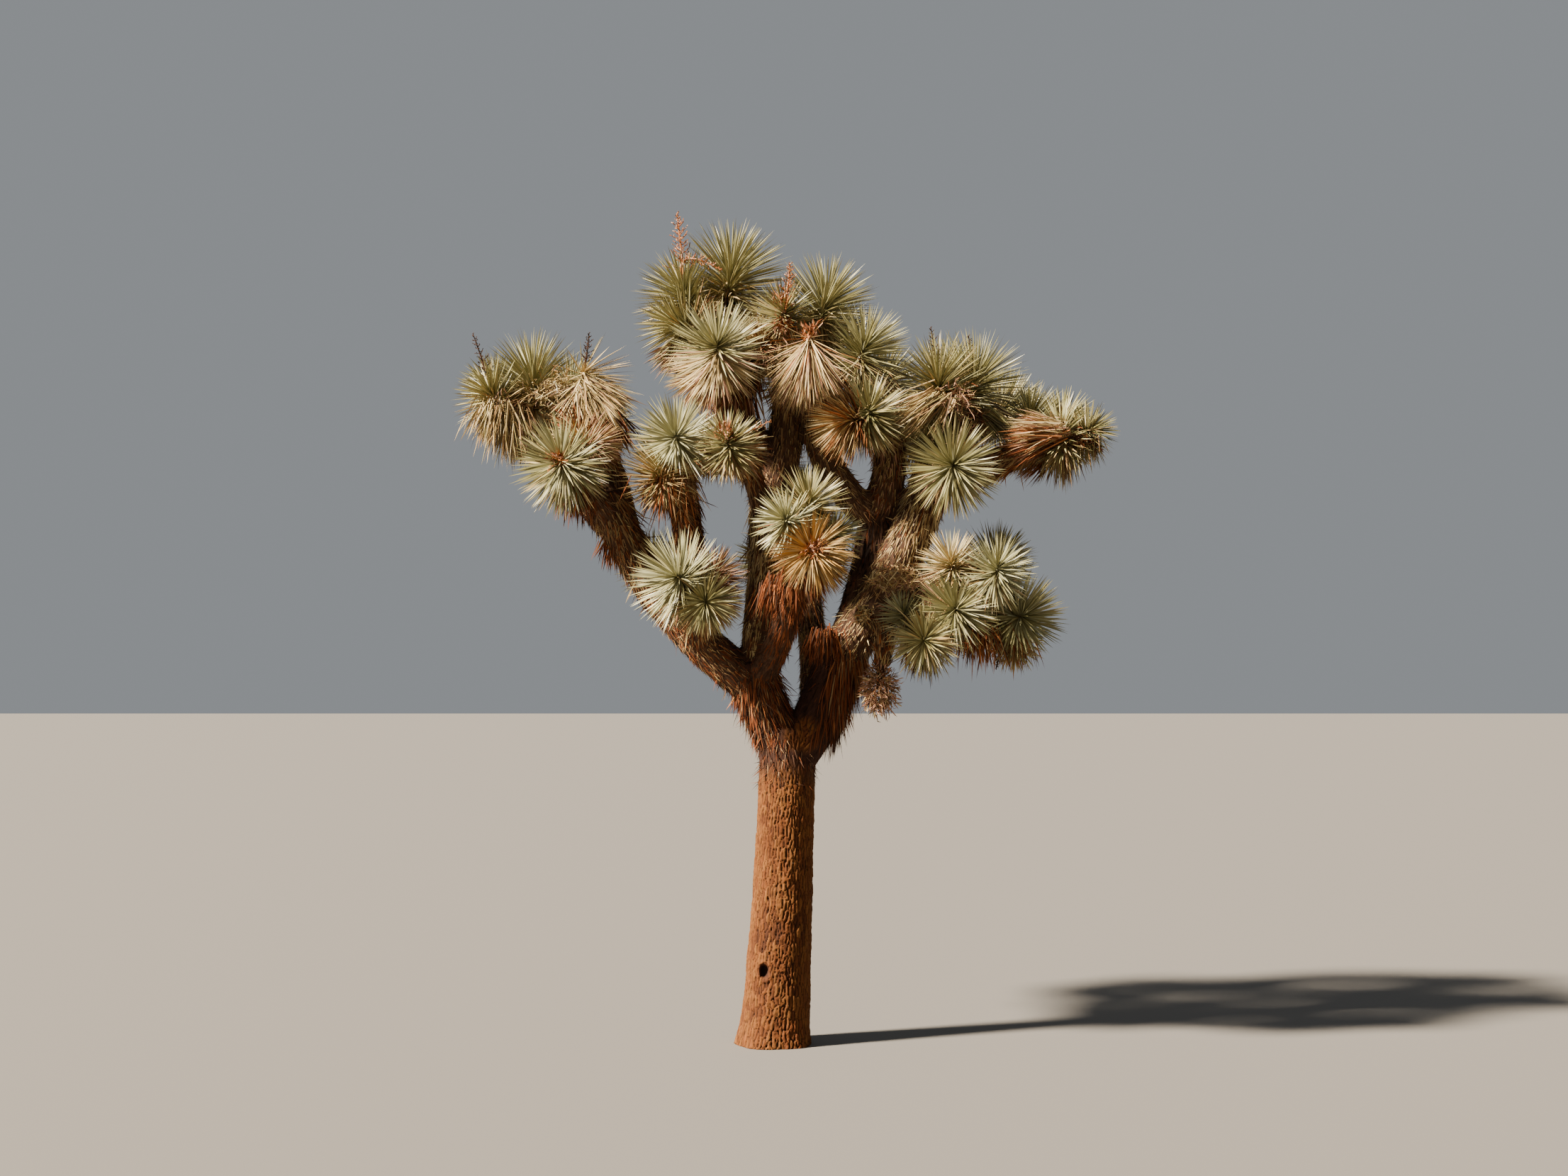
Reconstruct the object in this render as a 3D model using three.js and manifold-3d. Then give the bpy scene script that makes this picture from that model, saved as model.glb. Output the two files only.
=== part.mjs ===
// A Joshua tree that stands in the open: a short, slightly leaning trunk, heavy boughs that fork again
// and again, and at the end of each bough a mass of spiky leaf heads, some green and some long dead.
// Millimetres, +Z up, origin at the middle of the flat cut at ground level. +X is to the right and
// -Y to the front, as the tree is seen in the photograph.

import * as THREE from "three";
import { mergeVertices } from "three/addons/utils/BufferGeometryUtils.js";
import Module from "manifold-3d";

const wasm = await Module();
wasm.setup();

// Trunk
const TRUNK_TOP = [85, 0, 1790];
const TRUNK_DEPTH = 70; // how far it is drawn below ground before it is cut off flat
const TRUNK_BOW = [10, 10, 0];
const TRUNK_RADIUS = 192; // at its foot, without the flare
const TRUNK_NARROWING = 50; // how much thinner it gets before the fork swells it
const FORK_SWELLING = 24; // extra radius just below the fork
const FORK_SWELLING_LENGTH = 260;
const FLARE = 27; // extra radius of the root flare at the ground
const FLARE_HEIGHT = 110;
const FLARE_LOBES = 5;
const FLARE_LOBE_DEPTH = 0.35;
const TRUNK_SIDES = 14;
const TRUNK_STEPS = 10;
const KNOT_HOLE = { at: [-50, -166, 430], size: [30, 34, 44] };

// Boughs and twigs
const GAP = 0.35; // clear space between two neighbouring solids
const SMALLEST_DETAIL = 0.05; // slivers thinner than this, left by a cut, are taken out
const BOUGH_SIDES = 7;
const BOUGH_STEP_LENGTH = 210;
const BOUGH_ROUGHNESS = 0.07; // how far each ring of the shaggy bark swells or shrinks
const END_BULGE = 0.45; // how far the end of a bough stands out, as a share of its radius
const TWIG_SIDES = 4;
const TWIG_STEPS = 2;
const TWIG_RADIUS = [46, 32];
const STEM_LENGTH = 70; // from the bough's tip to where the twigs part
const SIDE_TWIG_PLACE = 0.36; // where the first side twig leaves the leading one
const SIDE_TWIG_STEP = 0.09;

// Leaf heads
const CORE_SHARE = 0.21; // the leafy club's radius as a share of the head's reach
const CORE_LENGTHENING = 1.35;
const FULL_HEAD_REACH = 235; // front heads that reach as far as this have the full number of leaves
const FULL_CLUB = { sides: 6, rows: [0.5, 1.06, 1.6, 2.14] }; // rows by their angle from the axis
const SPARSE_CLUB = { sides: 5, rows: [0.66, 1.4, 2.15] };
const LEAF_VARIATION = 0.16;
const CROWN_LEAF_SHARE = 0.92; // leaves near the head's axis are shorter than those at its side
const STEM_SIDE_COSINE = -0.8; // no leaves further back than this, where the twig comes in
const SHORTEST_LEAF = 50;
const MARCH_STEP = 10;
const LIVE_DROOP = 0.35;
const DEAD_DROOP = 0.85;

// Old flower stalks
const STALK_RADIUS = [16, 6];
const STALK_SIDES = 4;
const STALK_STEPS = 7;
const STALK_BARE_STEPS = 3; // below these steps it bears no side branches
const STALK_BRANCH_LENGTH = 60;

// Every bough grows from a place along another one (0 its foot, 1 its tip) to its own tip, and bows
// away from the straight line between them. The radii hold the bark and the dead leaves on it.
const BOUGHS = [
  { name: "bough_left", on: "trunk", from: 0.93, tip: [-125, -30, 2180], bow: [-25, 0, 0],
    radius: [140, 142] },
  { name: "bough_right", on: "trunk", from: 0.9, tip: [400, -20, 2320], bow: [40, 0, -30],
    radius: [142, 150] },
  { name: "bough_far_left", on: "bough_left", from: 0.72, tip: [-960, -60, 3130], bow: [-80, -50, -70],
    radius: [128, 118] },
  { name: "bough_centre", on: "bough_left", from: 0.78, tip: [-35, -20, 3150], bow: [20, 10, 0],
    radius: [125, 116] },
  { name: "bough_right_inner", on: "bough_right", from: 0.86, tip: [595, 30, 3110], bow: [45, 10, 0],
    radius: [108, 104] },
  { name: "bough_right_outer", on: "bough_right", from: 0.84, tip: [960, -30, 3390], bow: [55, -40, -30],
    radius: [145, 132] },
  { name: "bough_back", on: "bough_right", from: 0.35, tip: [140, 660, 2950], bow: [40, -90, -60],
    radius: [92, 80] },
  { name: "bough_back_left", on: "bough_far_left", from: 0.22, tip: [-560, 680, 2790], bow: [-30, 40, -110],
    radius: [85, 72] },
  { name: "limb_left_upper", on: "bough_far_left", from: 0.8, tip: [-1066, 30, 3638], bow: [20, 20, 0],
    radius: [92, 76] },
  { name: "limb_left_outer", on: "bough_far_left", from: 0.9, tip: [-1490, 130, 3560], bow: [-10, 60, -70],
    radius: [80, 64] },
  { name: "limb_left_front", on: "bough_far_left", from: 0.86, tip: [-1105, -235, 3265], bow: [0, -30, -20],
    radius: [72, 66] },
  { name: "limb_left_low", on: "bough_far_left", from: 0.3, tip: [-440, -290, 2500], bow: [0, -20, -40],
    radius: [80, 70] },
  { name: "limb_left_mid", on: "bough_far_left", from: 0.45, tip: [-560, -250, 3130], bow: [75, -40, 0],
    radius: [80, 72] },
  { name: "limb_top", on: "bough_centre", from: 0.92, tip: [85, 30, 3890], bow: [45, 0, 0],
    radius: [116, 102] },
  { name: "limb_top_left", on: "limb_top", from: 0.3, tip: [-355, 30, 4000], bow: [-55, 0, -40],
    radius: [98, 100] },
  { name: "limb_inner_left", on: "bough_centre", from: 0.88, tip: [-150, -310, 3350], bow: [0, -20, -30],
    radius: [66, 60] },
  { name: "limb_front", on: "bough_left", from: 0.8, tip: [150, -490, 2700], bow: [20, -60, -50],
    radius: [88, 76] },
  { name: "limb_top_right", on: "bough_right_inner", from: 0.88, tip: [285, 50, 3960], bow: [-165, -90, -40],
    radius: [98, 86] },
  { name: "limb_upper_right", on: "bough_right_inner", from: 0.92, tip: [650, -10, 3560], bow: [50, -10, -10],
    radius: [112, 100] },
  { name: "limb_right_front", on: "bough_right_outer", from: 0.84, tip: [968, -235, 3255], bow: [0, -30, -30],
    radius: [76, 68] },
  { name: "limb_far_right", on: "bough_right_outer", from: 0.86, tip: [1480, 10, 3430], bow: [0, 10, -30],
    radius: [100, 90] },
  { name: "limb_right_low", on: "bough_right_outer", from: 0.24, tip: [1051, -260, 2640], bow: [0, -30, -10],
    radius: [130, 92] },
  { name: "limb_low_front", on: "limb_right_low", from: 0.72, tip: [905, -350, 2470], bow: [0, -40, 20],
    radius: [76, 68] },
  { name: "limb_hanging", on: "limb_right_low", from: 0.1, tip: [612, -215, 2170], bow: [30, -70, 30],
    radius: [58, 56] },
  { name: "limb_back_left_upper", on: "bough_back_left", from: 0.5, tip: [-560, 600, 3380], bow: [40, 0, 0],
    radius: [72, 64] },
  { name: "limb_left_back", on: "bough_far_left", from: 0.8, tip: [-1290, 500, 3500], bow: [-20, 40, -90],
    radius: [70, 62] },
  { name: "limb_back_top", on: "bough_centre", from: 0.75, tip: [-300, 640, 3960], bow: [60, 110, -60],
    radius: [82, 68] },
  { name: "limb_back_top_right", on: "limb_top_right", from: 0.5, tip: [400, 620, 3820], bow: [0, 60, -70],
    radius: [66, 60] },
  { name: "limb_back_right", on: "bough_right_outer", from: 0.66, tip: [1030, 640, 3460], bow: [0, 80, -100],
    radius: [78, 68] },
  { name: "limb_back_right_low", on: "bough_right_outer", from: 0.26, tip: [1030, 560, 2590],
    bow: [0, 60, -30], radius: [76, 66] },
];

// Every mass of leaves sits on a bough's tip. A head is one rosette: where it is, where it looks, how
// far its leaves reach, whether it is dead, and its old flower stalk if it has one.
const MASSES = [
  { name: "foliage_far_left", on: "limb_left_outer", heads: [
    { at: [-1630, 40, 3725], looks: [-0.6, -0.2, 0.75], reach: 255, stalk: [-120, -20, 370] },
    { at: [-1415, 200, 3820], looks: [-0.1, 0.1, 1], reach: 362 },
  ] },
  { name: "foliage_left_top", on: "limb_left_upper", heads: [
    { at: [-1110, 10, 3825], looks: [0.1, -0.2, 1], reach: 320, dead: true, stalk: [40, -20, 270] },
    { at: [-1050, -235, 3415], looks: [0.8, -0.5, 0.1], reach: 225, dead: true },
  ] },
  { name: "foliage_left_front", on: "limb_left_front", heads: [
    { at: [-1182, -370, 3294], looks: [-0.15, -0.95, 0.2], reach: 305 },
  ] },
  { name: "foliage_left_low", on: "limb_left_low", heads: [
    { at: [-515, -440, 2640], looks: [-0.45, -0.8, 0.35], reach: 310 },
    { at: [-375, -480, 2515], looks: [0.1, -0.95, -0.1], reach: 220 },
    { at: [-350, -290, 2650], looks: [0.5, -0.3, 0.85], reach: 230, dead: true },
  ] },
  { name: "foliage_left_mid", on: "limb_left_mid", heads: [
    { at: [-545, -370, 3433], looks: [-0.05, -0.95, 0.3], reach: 275 },
    { at: [-640, -300, 3250], looks: [-0.1, -0.3, 0.9], reach: 260, dead: true },
  ] },
  { name: "foliage_inner_left", on: "limb_inner_left", heads: [
    { at: [-250, -450, 3395], looks: [-0.1, -0.6, 0.7], reach: 235 },
  ] },
  { name: "foliage_top_left", on: "limb_top_left", heads: [
    { at: [-520, 80, 4325], looks: [-0.35, -0.05, 0.93], reach: 320, stalk: [-48, 10, 490] },
    { at: [-254, 150, 4440], looks: [0.15, 0, 1], reach: 385 },
    { at: [-520, -70, 4120], looks: [-0.85, -0.2, 0.35], reach: 300 },
    { at: [-315, -350, 3940], looks: [0, -0.8, 0.5], reach: 318 },
  ] },
  { name: "foliage_top", on: "limb_top", heads: [
    { at: [60, -90, 4185], looks: [0, -0.6, 0.8], reach: 240, stalk: [35, 0, 300] },
    { at: [205, -240, 3975], looks: [0, -0.4, 0.9], reach: 400, dead: true },
    { at: [-70, -60, 4000], looks: [-0.5, -0.5, 0.5], reach: 210, dead: true },
  ] },
  { name: "foliage_top_right", on: "limb_top_right", heads: [
    { at: [295, 60, 4259], looks: [0.35, -0.1, 0.9], reach: 350 },
  ] },
  { name: "foliage_upper_right", on: "limb_upper_right", heads: [
    { at: [515, -100, 3970], looks: [0.35, -0.45, 0.8], reach: 315 },
    { at: [540, -310, 3580], looks: [0.1, -0.8, 0.5], reach: 265 },
    { at: [440, -310, 3550], looks: [-0.7, -0.5, -0.1], reach: 275, dead: true },
  ] },
  { name: "foliage_right_top", on: "bough_right_outer", heads: [
    { at: [955, -60, 3770], looks: [-0.15, -0.3, 0.9], reach: 345, stalk: [-48, -20, 346] },
    { at: [1165, 110, 3795], looks: [0.5, -0.1, 0.8], reach: 370, stalk: [-25, -20, 300] },
  ] },
  { name: "foliage_right_front", on: "limb_right_front", heads: [
    { at: [1005, -390, 3276], looks: [0.05, -0.95, 0.1], reach: 300 },
    { at: [900, -210, 3440], looks: [-0.6, -0.6, 0.4], reach: 190 },
  ] },
  { name: "foliage_far_right", on: "limb_far_right", heads: [
    { at: [1508, 170, 3600], looks: [-0.15, -0.1, 1], reach: 270 },
    { at: [1659, -100, 3488], looks: [-0.1, -0.4, 0.9], reach: 240 },
    { at: [1815, -70, 3515], looks: [0.75, -0.45, 0.5], reach: 195 },
    { at: [1590, 90, 3460], looks: [-0.5, -0.3, 0.6], reach: 270, dead: true },
    { at: [1740, 450, 3620], looks: [0.4, 0.8, 0.4], reach: 230 },
  ] },
  { name: "foliage_right_low", on: "limb_right_low", heads: [
    { at: [1000, -380, 2722], looks: [-0.3, -0.5, 0.85], reach: 225, dead: true },
    { at: [1239, -520, 2683], looks: [0.15, -0.75, 0.6], reach: 235 },
    { at: [1380, -300, 2430], looks: [0.35, -0.85, 0.2], reach: 290 },
    { at: [1370, -210, 2290], looks: [0.1, -0.5, -0.6], reach: 190 },
  ] },
  { name: "foliage_low_front", on: "limb_low_front", heads: [
    { at: [1010, -470, 2465], looks: [0.1, -0.95, 0.15], reach: 265 },
    { at: [840, -510, 2300], looks: [-0.2, -0.95, -0.1], reach: 225 },
    { at: [735, -390, 2440], looks: [-0.4, -0.5, 0.8], reach: 172 },
  ] },
  { name: "foliage_centre", on: "limb_front", heads: [
    { at: [195, -560, 3040], looks: [0.15, -0.55, 0.75], reach: 255 },
    { at: [80, -680, 2950], looks: [-0.5, -0.75, 0.35], reach: 220 },
    { at: [212, -720, 2785], looks: [0.05, -0.98, -0.1], reach: 256, dead: true },
    { at: [330, -540, 2880], looks: [0.75, -0.4, 0.55], reach: 200 },
  ] },
  { name: "foliage_hanging_dead", on: "limb_hanging", heads: [
    { at: [600, -240, 2030], looks: [0, -0.15, -1], reach: 140, dead: true },
  ] },
  { name: "foliage_back", on: "bough_back", rear: true, heads: [
    { at: [145, 1080, 3230], looks: [0, 0.5, 0.8], reach: 275 },
    { at: [-40, 880, 3470], looks: [-0.4, 0.3, 0.9], reach: 270 },
    { at: [270, 1050, 2820], looks: [0.4, 0.9, 0.1], reach: 260, dead: true },
    { at: [0, 900, 2810], looks: [-0.6, 0.8, 0.1], reach: 270 },
  ] },
  { name: "foliage_back_left", on: "bough_back_left", rear: true, heads: [
    { at: [-560, 930, 2650], looks: [0, 0.95, 0.2], reach: 270 },
    { at: [-370, 780, 2570], looks: [0.5, 0.7, 0], reach: 220, dead: true },
    { at: [-740, 760, 2790], looks: [-0.6, 0.5, 0.6], reach: 250 },
  ] },
  { name: "foliage_back_left_upper", on: "limb_back_left_upper", rear: true, heads: [
    { at: [-630, 880, 3490], looks: [-0.4, 0.7, 0.6], reach: 280 },
    { at: [-330, 960, 3560], looks: [0.5, 0.6, 0.6], reach: 270 },
  ] },
  { name: "foliage_left_back", on: "limb_left_back", rear: true, heads: [
    { at: [-1440, 690, 3620], looks: [-0.3, 0.8, 0.5], reach: 280 },
    { at: [-1100, 770, 3640], looks: [0.4, 0.8, 0.4], reach: 275 },
    { at: [-1680, 560, 3860], looks: [-0.8, 0.3, 0.6], reach: 240 },
    { at: [-1260, 880, 3880], looks: [0, 0.4, 0.9], reach: 265 },
  ] },
  { name: "foliage_back_top", on: "limb_back_top", rear: true, heads: [
    { at: [-470, 860, 4350], looks: [-0.4, 0.4, 0.8], reach: 280 },
    { at: [-130, 960, 4230], looks: [0.4, 0.6, 0.7], reach: 290 },
    { at: [-440, 900, 3980], looks: [-0.5, 0.8, 0.2], reach: 270, dead: true },
  ] },
  { name: "foliage_back_top_right", on: "limb_back_top_right", rear: true, heads: [
    { at: [345, 900, 4240], looks: [0, 0.3, 0.95], reach: 290 },
    { at: [690, 970, 3950], looks: [0.6, 0.6, 0.5], reach: 275 },
    { at: [140, 1010, 3930], looks: [-0.4, 0.9, 0.2], reach: 270 },
  ] },
  { name: "foliage_back_right", on: "limb_back_right", rear: true, heads: [
    { at: [1100, 970, 3970], looks: [0.1, 0.5, 0.9], reach: 285 },
    { at: [860, 960, 3640], looks: [-0.4, 0.9, 0.1], reach: 275 },
    { at: [1130, 860, 3430], looks: [0.3, 0.9, -0.2], reach: 265, dead: true },
    { at: [1430, 780, 3740], looks: [0.8, 0.5, 0.4], reach: 280 },
  ] },
  { name: "foliage_back_right_low", on: "limb_back_right_low", rear: true, heads: [
    { at: [1050, 900, 2690], looks: [-0.3, 0.9, 0.3], reach: 265 },
    { at: [1350, 790, 2510], looks: [0.5, 0.8, 0], reach: 260 },
    { at: [900, 760, 2410], looks: [-0.4, 0.7, -0.5], reach: 200, dead: true },
    { at: [1380, 920, 2820], looks: [0.6, 0.5, 0.6], reach: 270 },
  ] },
];

const UP = new THREE.Vector3(0, 0, 1);
const random = seededRandom(4821);

function seededRandom(seed) {
  let state = seed >>> 0;
  return () => {
    state = (state + 0x6d2b79f5) >>> 0;
    let mixed = Math.imul(state ^ (state >>> 15), state | 1);
    mixed ^= mixed + Math.imul(mixed ^ (mixed >>> 7), mixed | 61);
    return ((mixed ^ (mixed >>> 14)) >>> 0) / 2 ** 32;
  };
}

function between(low, high) {
  return low + (high - low) * random();
}

function vector(list) {
  return new THREE.Vector3(...list);
}

function barkMaterial() {
  return new THREE.MeshStandardMaterial({ color: 0x7a5138, roughness: 0.95, metalness: 0 });
}

function thatchedBarkMaterial() {
  return new THREE.MeshStandardMaterial({ color: 0x8a6849, roughness: 0.95, metalness: 0 });
}

function leafMaterial() {
  return new THREE.MeshStandardMaterial({ color: 0x8f9468, roughness: 0.7, metalness: 0 });
}

function deadLeafMaterial() {
  return new THREE.MeshStandardMaterial({ color: 0xb58f66, roughness: 0.85, metalness: 0 });
}

// Closed solids from bare corners and triangles, and back to geometry once joined or cut.
function solidFrom(corners, triangles) {
  const vertProperties = new Float32Array(corners.flatMap((corner) => corner.toArray()));
  const triVerts = new Uint32Array(triangles);
  return new wasm.Manifold(new wasm.Mesh({ numProp: 3, vertProperties, triVerts }));
}

function geometryFrom(solid) {
  const mesh = solid.getMesh();
  const geometry = new THREE.BufferGeometry();
  geometry.setAttribute("position", new THREE.BufferAttribute(new Float32Array(mesh.vertProperties), 3));
  geometry.setIndex(new THREE.BufferAttribute(new Uint32Array(mesh.triVerts), 1));
  geometry.computeVertexNormals();
  return geometry;
}

function bareSphere(geometry) {
  geometry.deleteAttribute("normal");
  geometry.deleteAttribute("uv");
  return mergeVertices(geometry, 1e-4);
}

function largestPiece(solid) {
  const pieces = solid.decompose();
  return pieces.reduce((best, piece) => (piece.volume() > best.volume() ? piece : best));
}

// The line that a bough follows: a bend through the straight line's middle, moved aside by the bow.
function bowedPath(foot, tip, bow) {
  const middle = foot.clone().lerp(tip, 0.5).addScaledVector(bow, 2);
  return new THREE.QuadraticBezierCurve3(foot, middle, tip);
}

// A closed round body along a path. radiusAt gives its radius for a place along it and a side's angle.
// drawnOut may give a point that one of its side panels is drawn out to.
function roundBody(path, radiusAt, sides, steps, bulge, drawnOut = () => null) {
  const frames = path.computeFrenetFrames(steps, false);
  const corners = [path.getPointAt(0)];
  for (let step = 0; step <= steps; step += 1) {
    const place = step / steps;
    const centre = path.getPointAt(place);
    for (let side = 0; side < sides; side += 1) {
      const angle = (2 * Math.PI * side) / sides;
      const radius = radiusAt(place, angle);
      corners.push(centre.clone()
        .addScaledVector(frames.normals[step], radius * Math.cos(angle))
        .addScaledVector(frames.binormals[step], radius * Math.sin(angle)));
    }
  }
  corners.push(path.getPointAt(1).addScaledVector(frames.tangents[steps], bulge));
  const triangles = [];
  const end = corners.length - 1;
  for (let side = 0; side < sides; side += 1) {
    const next = (side + 1) % sides;
    triangles.push(0, 1 + next, 1 + side);
    for (let step = 0; step < steps; step += 1) {
      const low = 1 + step * sides;
      const high = low + sides;
      const panel = [low + side, low + next, high + next, high + side];
      const point = drawnOut(step, side, panel.map((corner) => corners[corner]));
      if (point) {
        corners.push(point);
        panel.forEach((corner, index) => triangles.push(corner, panel[(index + 1) % 4], corners.length - 1));
      } else {
        triangles.push(panel[0], panel[1], panel[2], panel[0], panel[2], panel[3]);
      }
    }
    triangles.push(end, end - sides + side, end - sides + next);
  }
  return solidFrom(corners, triangles);
}

function trunkRadius(place, angle) {
  const height = Math.max(0, THREE.MathUtils.lerp(-TRUNK_DEPTH, TRUNK_TOP[2], place));
  const lobe = 1 + FLARE_LOBE_DEPTH * Math.cos(FLARE_LOBES * angle + 0.7);
  const flare = FLARE * lobe * Math.exp(-height / FLARE_HEIGHT);
  const swelling = FORK_SWELLING * Math.exp((height - TRUNK_TOP[2]) / FORK_SWELLING_LENGTH);
  return TRUNK_RADIUS - TRUNK_NARROWING * place + flare + swelling;
}

function makeTrunk() {
  const path = bowedPath(vector([0, 0, -TRUNK_DEPTH]), vector(TRUNK_TOP), vector(TRUNK_BOW));
  const bulge = END_BULGE * trunkRadius(1, 0);
  const grown = (extra) => roundBody(
    path, (place, angle) => trunkRadius(place, angle) + extra, TRUNK_SIDES, TRUNK_STEPS, bulge + extra);
  const solid = grown(0).subtract(knotHole()).subtract(groundBlock());
  const line = lineOf(path, TRUNK_STEPS, (place) => trunkRadius(place, 0));
  return { name: "trunk", path, solid, fattened: grown(GAP), line };
}

// A round-bottomed hollow in the front of the trunk, left by a lost branch.
function knotHole() {
  const ball = bareSphere(new THREE.IcosahedronGeometry(1, 1));
  ball.scale(...KNOT_HOLE.size);
  ball.translate(...KNOT_HOLE.at);
  return solidOf(ball);
}

// Everything below ground level, which is cut off flat.
function groundBlock() {
  const block = bareSphere(new THREE.BoxGeometry(2000, 2000, 400));
  block.translate(0, 0, -200);
  return solidOf(block);
}

function solidOf(geometry) {
  return new wasm.Manifold(new wasm.Mesh({
    numProp: 3,
    vertProperties: new Float32Array(geometry.attributes.position.array),
    triVerts: new Uint32Array(geometry.index.array),
  }));
}

// A limb's centre line as short pieces with a radius at each end, for keeping other things clear of it.
function lineOf(path, steps, radiusAt) {
  const pieces = [];
  for (let step = 0; step < steps; step += 1) {
    const [start, end] = [step / steps, (step + 1) / steps];
    const radius = Math.max(radiusAt(start), radiusAt(end));
    pieces.push({ from: path.getPointAt(start), to: path.getPointAt(end), radius });
  }
  return pieces;
}

function makeBough(row, limbs) {
  const foot = limbs.get(row.on).path.getPointAt(row.from);
  const path = bowedPath(foot, vector(row.tip), vector(row.bow));
  const steps = Math.max(3, Math.round(path.getLength() / BOUGH_STEP_LENGTH));
  const swells = Array.from({ length: steps + 1 }, () => 1 + between(-1, 1) * BOUGH_ROUGHNESS);
  const radiusAt = (place) => THREE.MathUtils.lerp(...row.radius, place) * swells[Math.round(place * steps)];
  const bulge = END_BULGE * row.radius[1];
  const grown = (extra) => roundBody(
    path, (place) => radiusAt(place) + extra, BOUGH_SIDES, steps, bulge + extra);
  const line = lineOf(path, steps, radiusAt);
  const tangent = path.getTangentAt(1);
  const tip = path.getPointAt(1);
  line.push({ from: tip, to: tip.clone().addScaledVector(tangent, bulge), radius: row.radius[1] * 0.8 });
  let solid = grown(0);
  for (const earlier of limbs.values()) {
    solid = solid.subtract(earlier.fattened);
  }
  return { name: row.name, path, solid: largestPiece(solid), fattened: grown(GAP), line };
}

// The woody part of a mass: a leading twig out of the bough's tip, and side twigs from it to the others.
function massWood(heads, bough) {
  const inside = bough.path.getPointAt(0.93);
  const tip = bough.path.getPointAt(1);
  const hub = tip.clone().addScaledVector(bough.path.getTangentAt(1), STEM_LENGTH);
  const paths = [];
  for (const head of heads) {
    const place = SIDE_TWIG_PLACE + SIDE_TWIG_STEP * paths.length;
    const from = paths.length === 0 ? inside : paths[0].getPointAt(place);
    const through = paths.length === 0 ? tip : hub;
    const back = head.centre.clone()
      .addScaledVector(vector(head.looks).normalize(), -0.4 * head.centre.distanceTo(hub));
    paths.push(new THREE.CubicBezierCurve3(from, through, back, head.centre));
  }
  const radii = paths.map((_, index) => (place) => (
    THREE.MathUtils.lerp(TWIG_RADIUS[0] * (index === 0 ? 1 : 0.85), TWIG_RADIUS[1], place)));
  const twigs = paths.map((path, index) => (
    roundBody(path, radii[index], TWIG_SIDES, index === 0 ? TWIG_STEPS + 1 : TWIG_STEPS, 0)));
  return {
    solid: wasm.Manifold.union(twigs),
    twigs: paths.map((path, index) => lineOf(path, 5, radii[index])),
  };
}

function distanceToPiece(point, piece) {
  const along = piece.to.clone().sub(piece.from);
  const length = along.lengthSq();
  const share = length === 0 ? 0 : point.clone().sub(piece.from).dot(along) / length;
  const nearest = piece.from.clone().addScaledVector(along, THREE.MathUtils.clamp(share, 0, 1));
  return nearest.distanceTo(point) - piece.radius;
}

// How far a leaf can reach in a direction before it leaves the mass's own space or meets other wood.
function clearReach(head, direction, wanted, others, wood, halfWidth) {
  const core = head.core;
  let reach = wanted;
  for (const other of others) {
    const apart = other.centre.clone().sub(head.centre);
    const distance = apart.length();
    const forward = direction.dot(apart) / distance;
    if (forward > 0) {
      const border = (distance * head.reach) / (head.reach + other.reach) - GAP;
      reach = Math.min(reach, border / forward);
    }
  }
  for (let place = core; place < reach; place += MARCH_STEP) {
    const point = head.centre.clone().addScaledVector(direction, place);
    const width = halfWidth * Math.max(0, 1 - (place - core) / (wanted - core)) + 2 * GAP;
    if (wood.some((piece) => distanceToPiece(point, piece) < width)) {
      return place - MARCH_STEP;
    }
  }
  return reach;
}

// The club that carries a head's leaves, as directions from its middle: rows of points round the axis,
// each row turned half a step from the last, and the triangles between them.
function clubFaces({ sides, rows }) {
  const directions = [new THREE.Vector3(0, 0, 1)];
  rows.forEach((angle, row) => {
    for (let side = 0; side < sides; side += 1) {
      const turn = (2 * Math.PI * (side + (row % 2) / 2)) / sides;
      directions.push(new THREE.Vector3(
        Math.sin(angle) * Math.cos(turn), Math.sin(angle) * Math.sin(turn), Math.cos(angle)));
    }
  });
  const foot = directions.push(new THREE.Vector3(0, 0, -1)) - 1;
  const corner = (row, side) => 1 + row * sides + (side % sides);
  const faces = [];
  for (let side = 0; side < sides; side += 1) {
    faces.push([0, corner(0, side), corner(0, side + 1)]);
    for (let row = 0; row + 1 < rows.length; row += 1) {
      const turned = row % 2; // the row below an odd one starts half a step further on
      const below = corner(row + 1, side + turned);
      const above = corner(row, side + 1 - turned);
      faces.push([corner(row, side), below, corner(row, side + 1)]);
      faces.push([corner(row + 1, side), corner(row + 1, side + 1), above]);
    }
    faces.push([corner(rows.length - 1, side), foot, corner(rows.length - 1, side + 1)]);
  }
  return { directions, faces };
}

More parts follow.
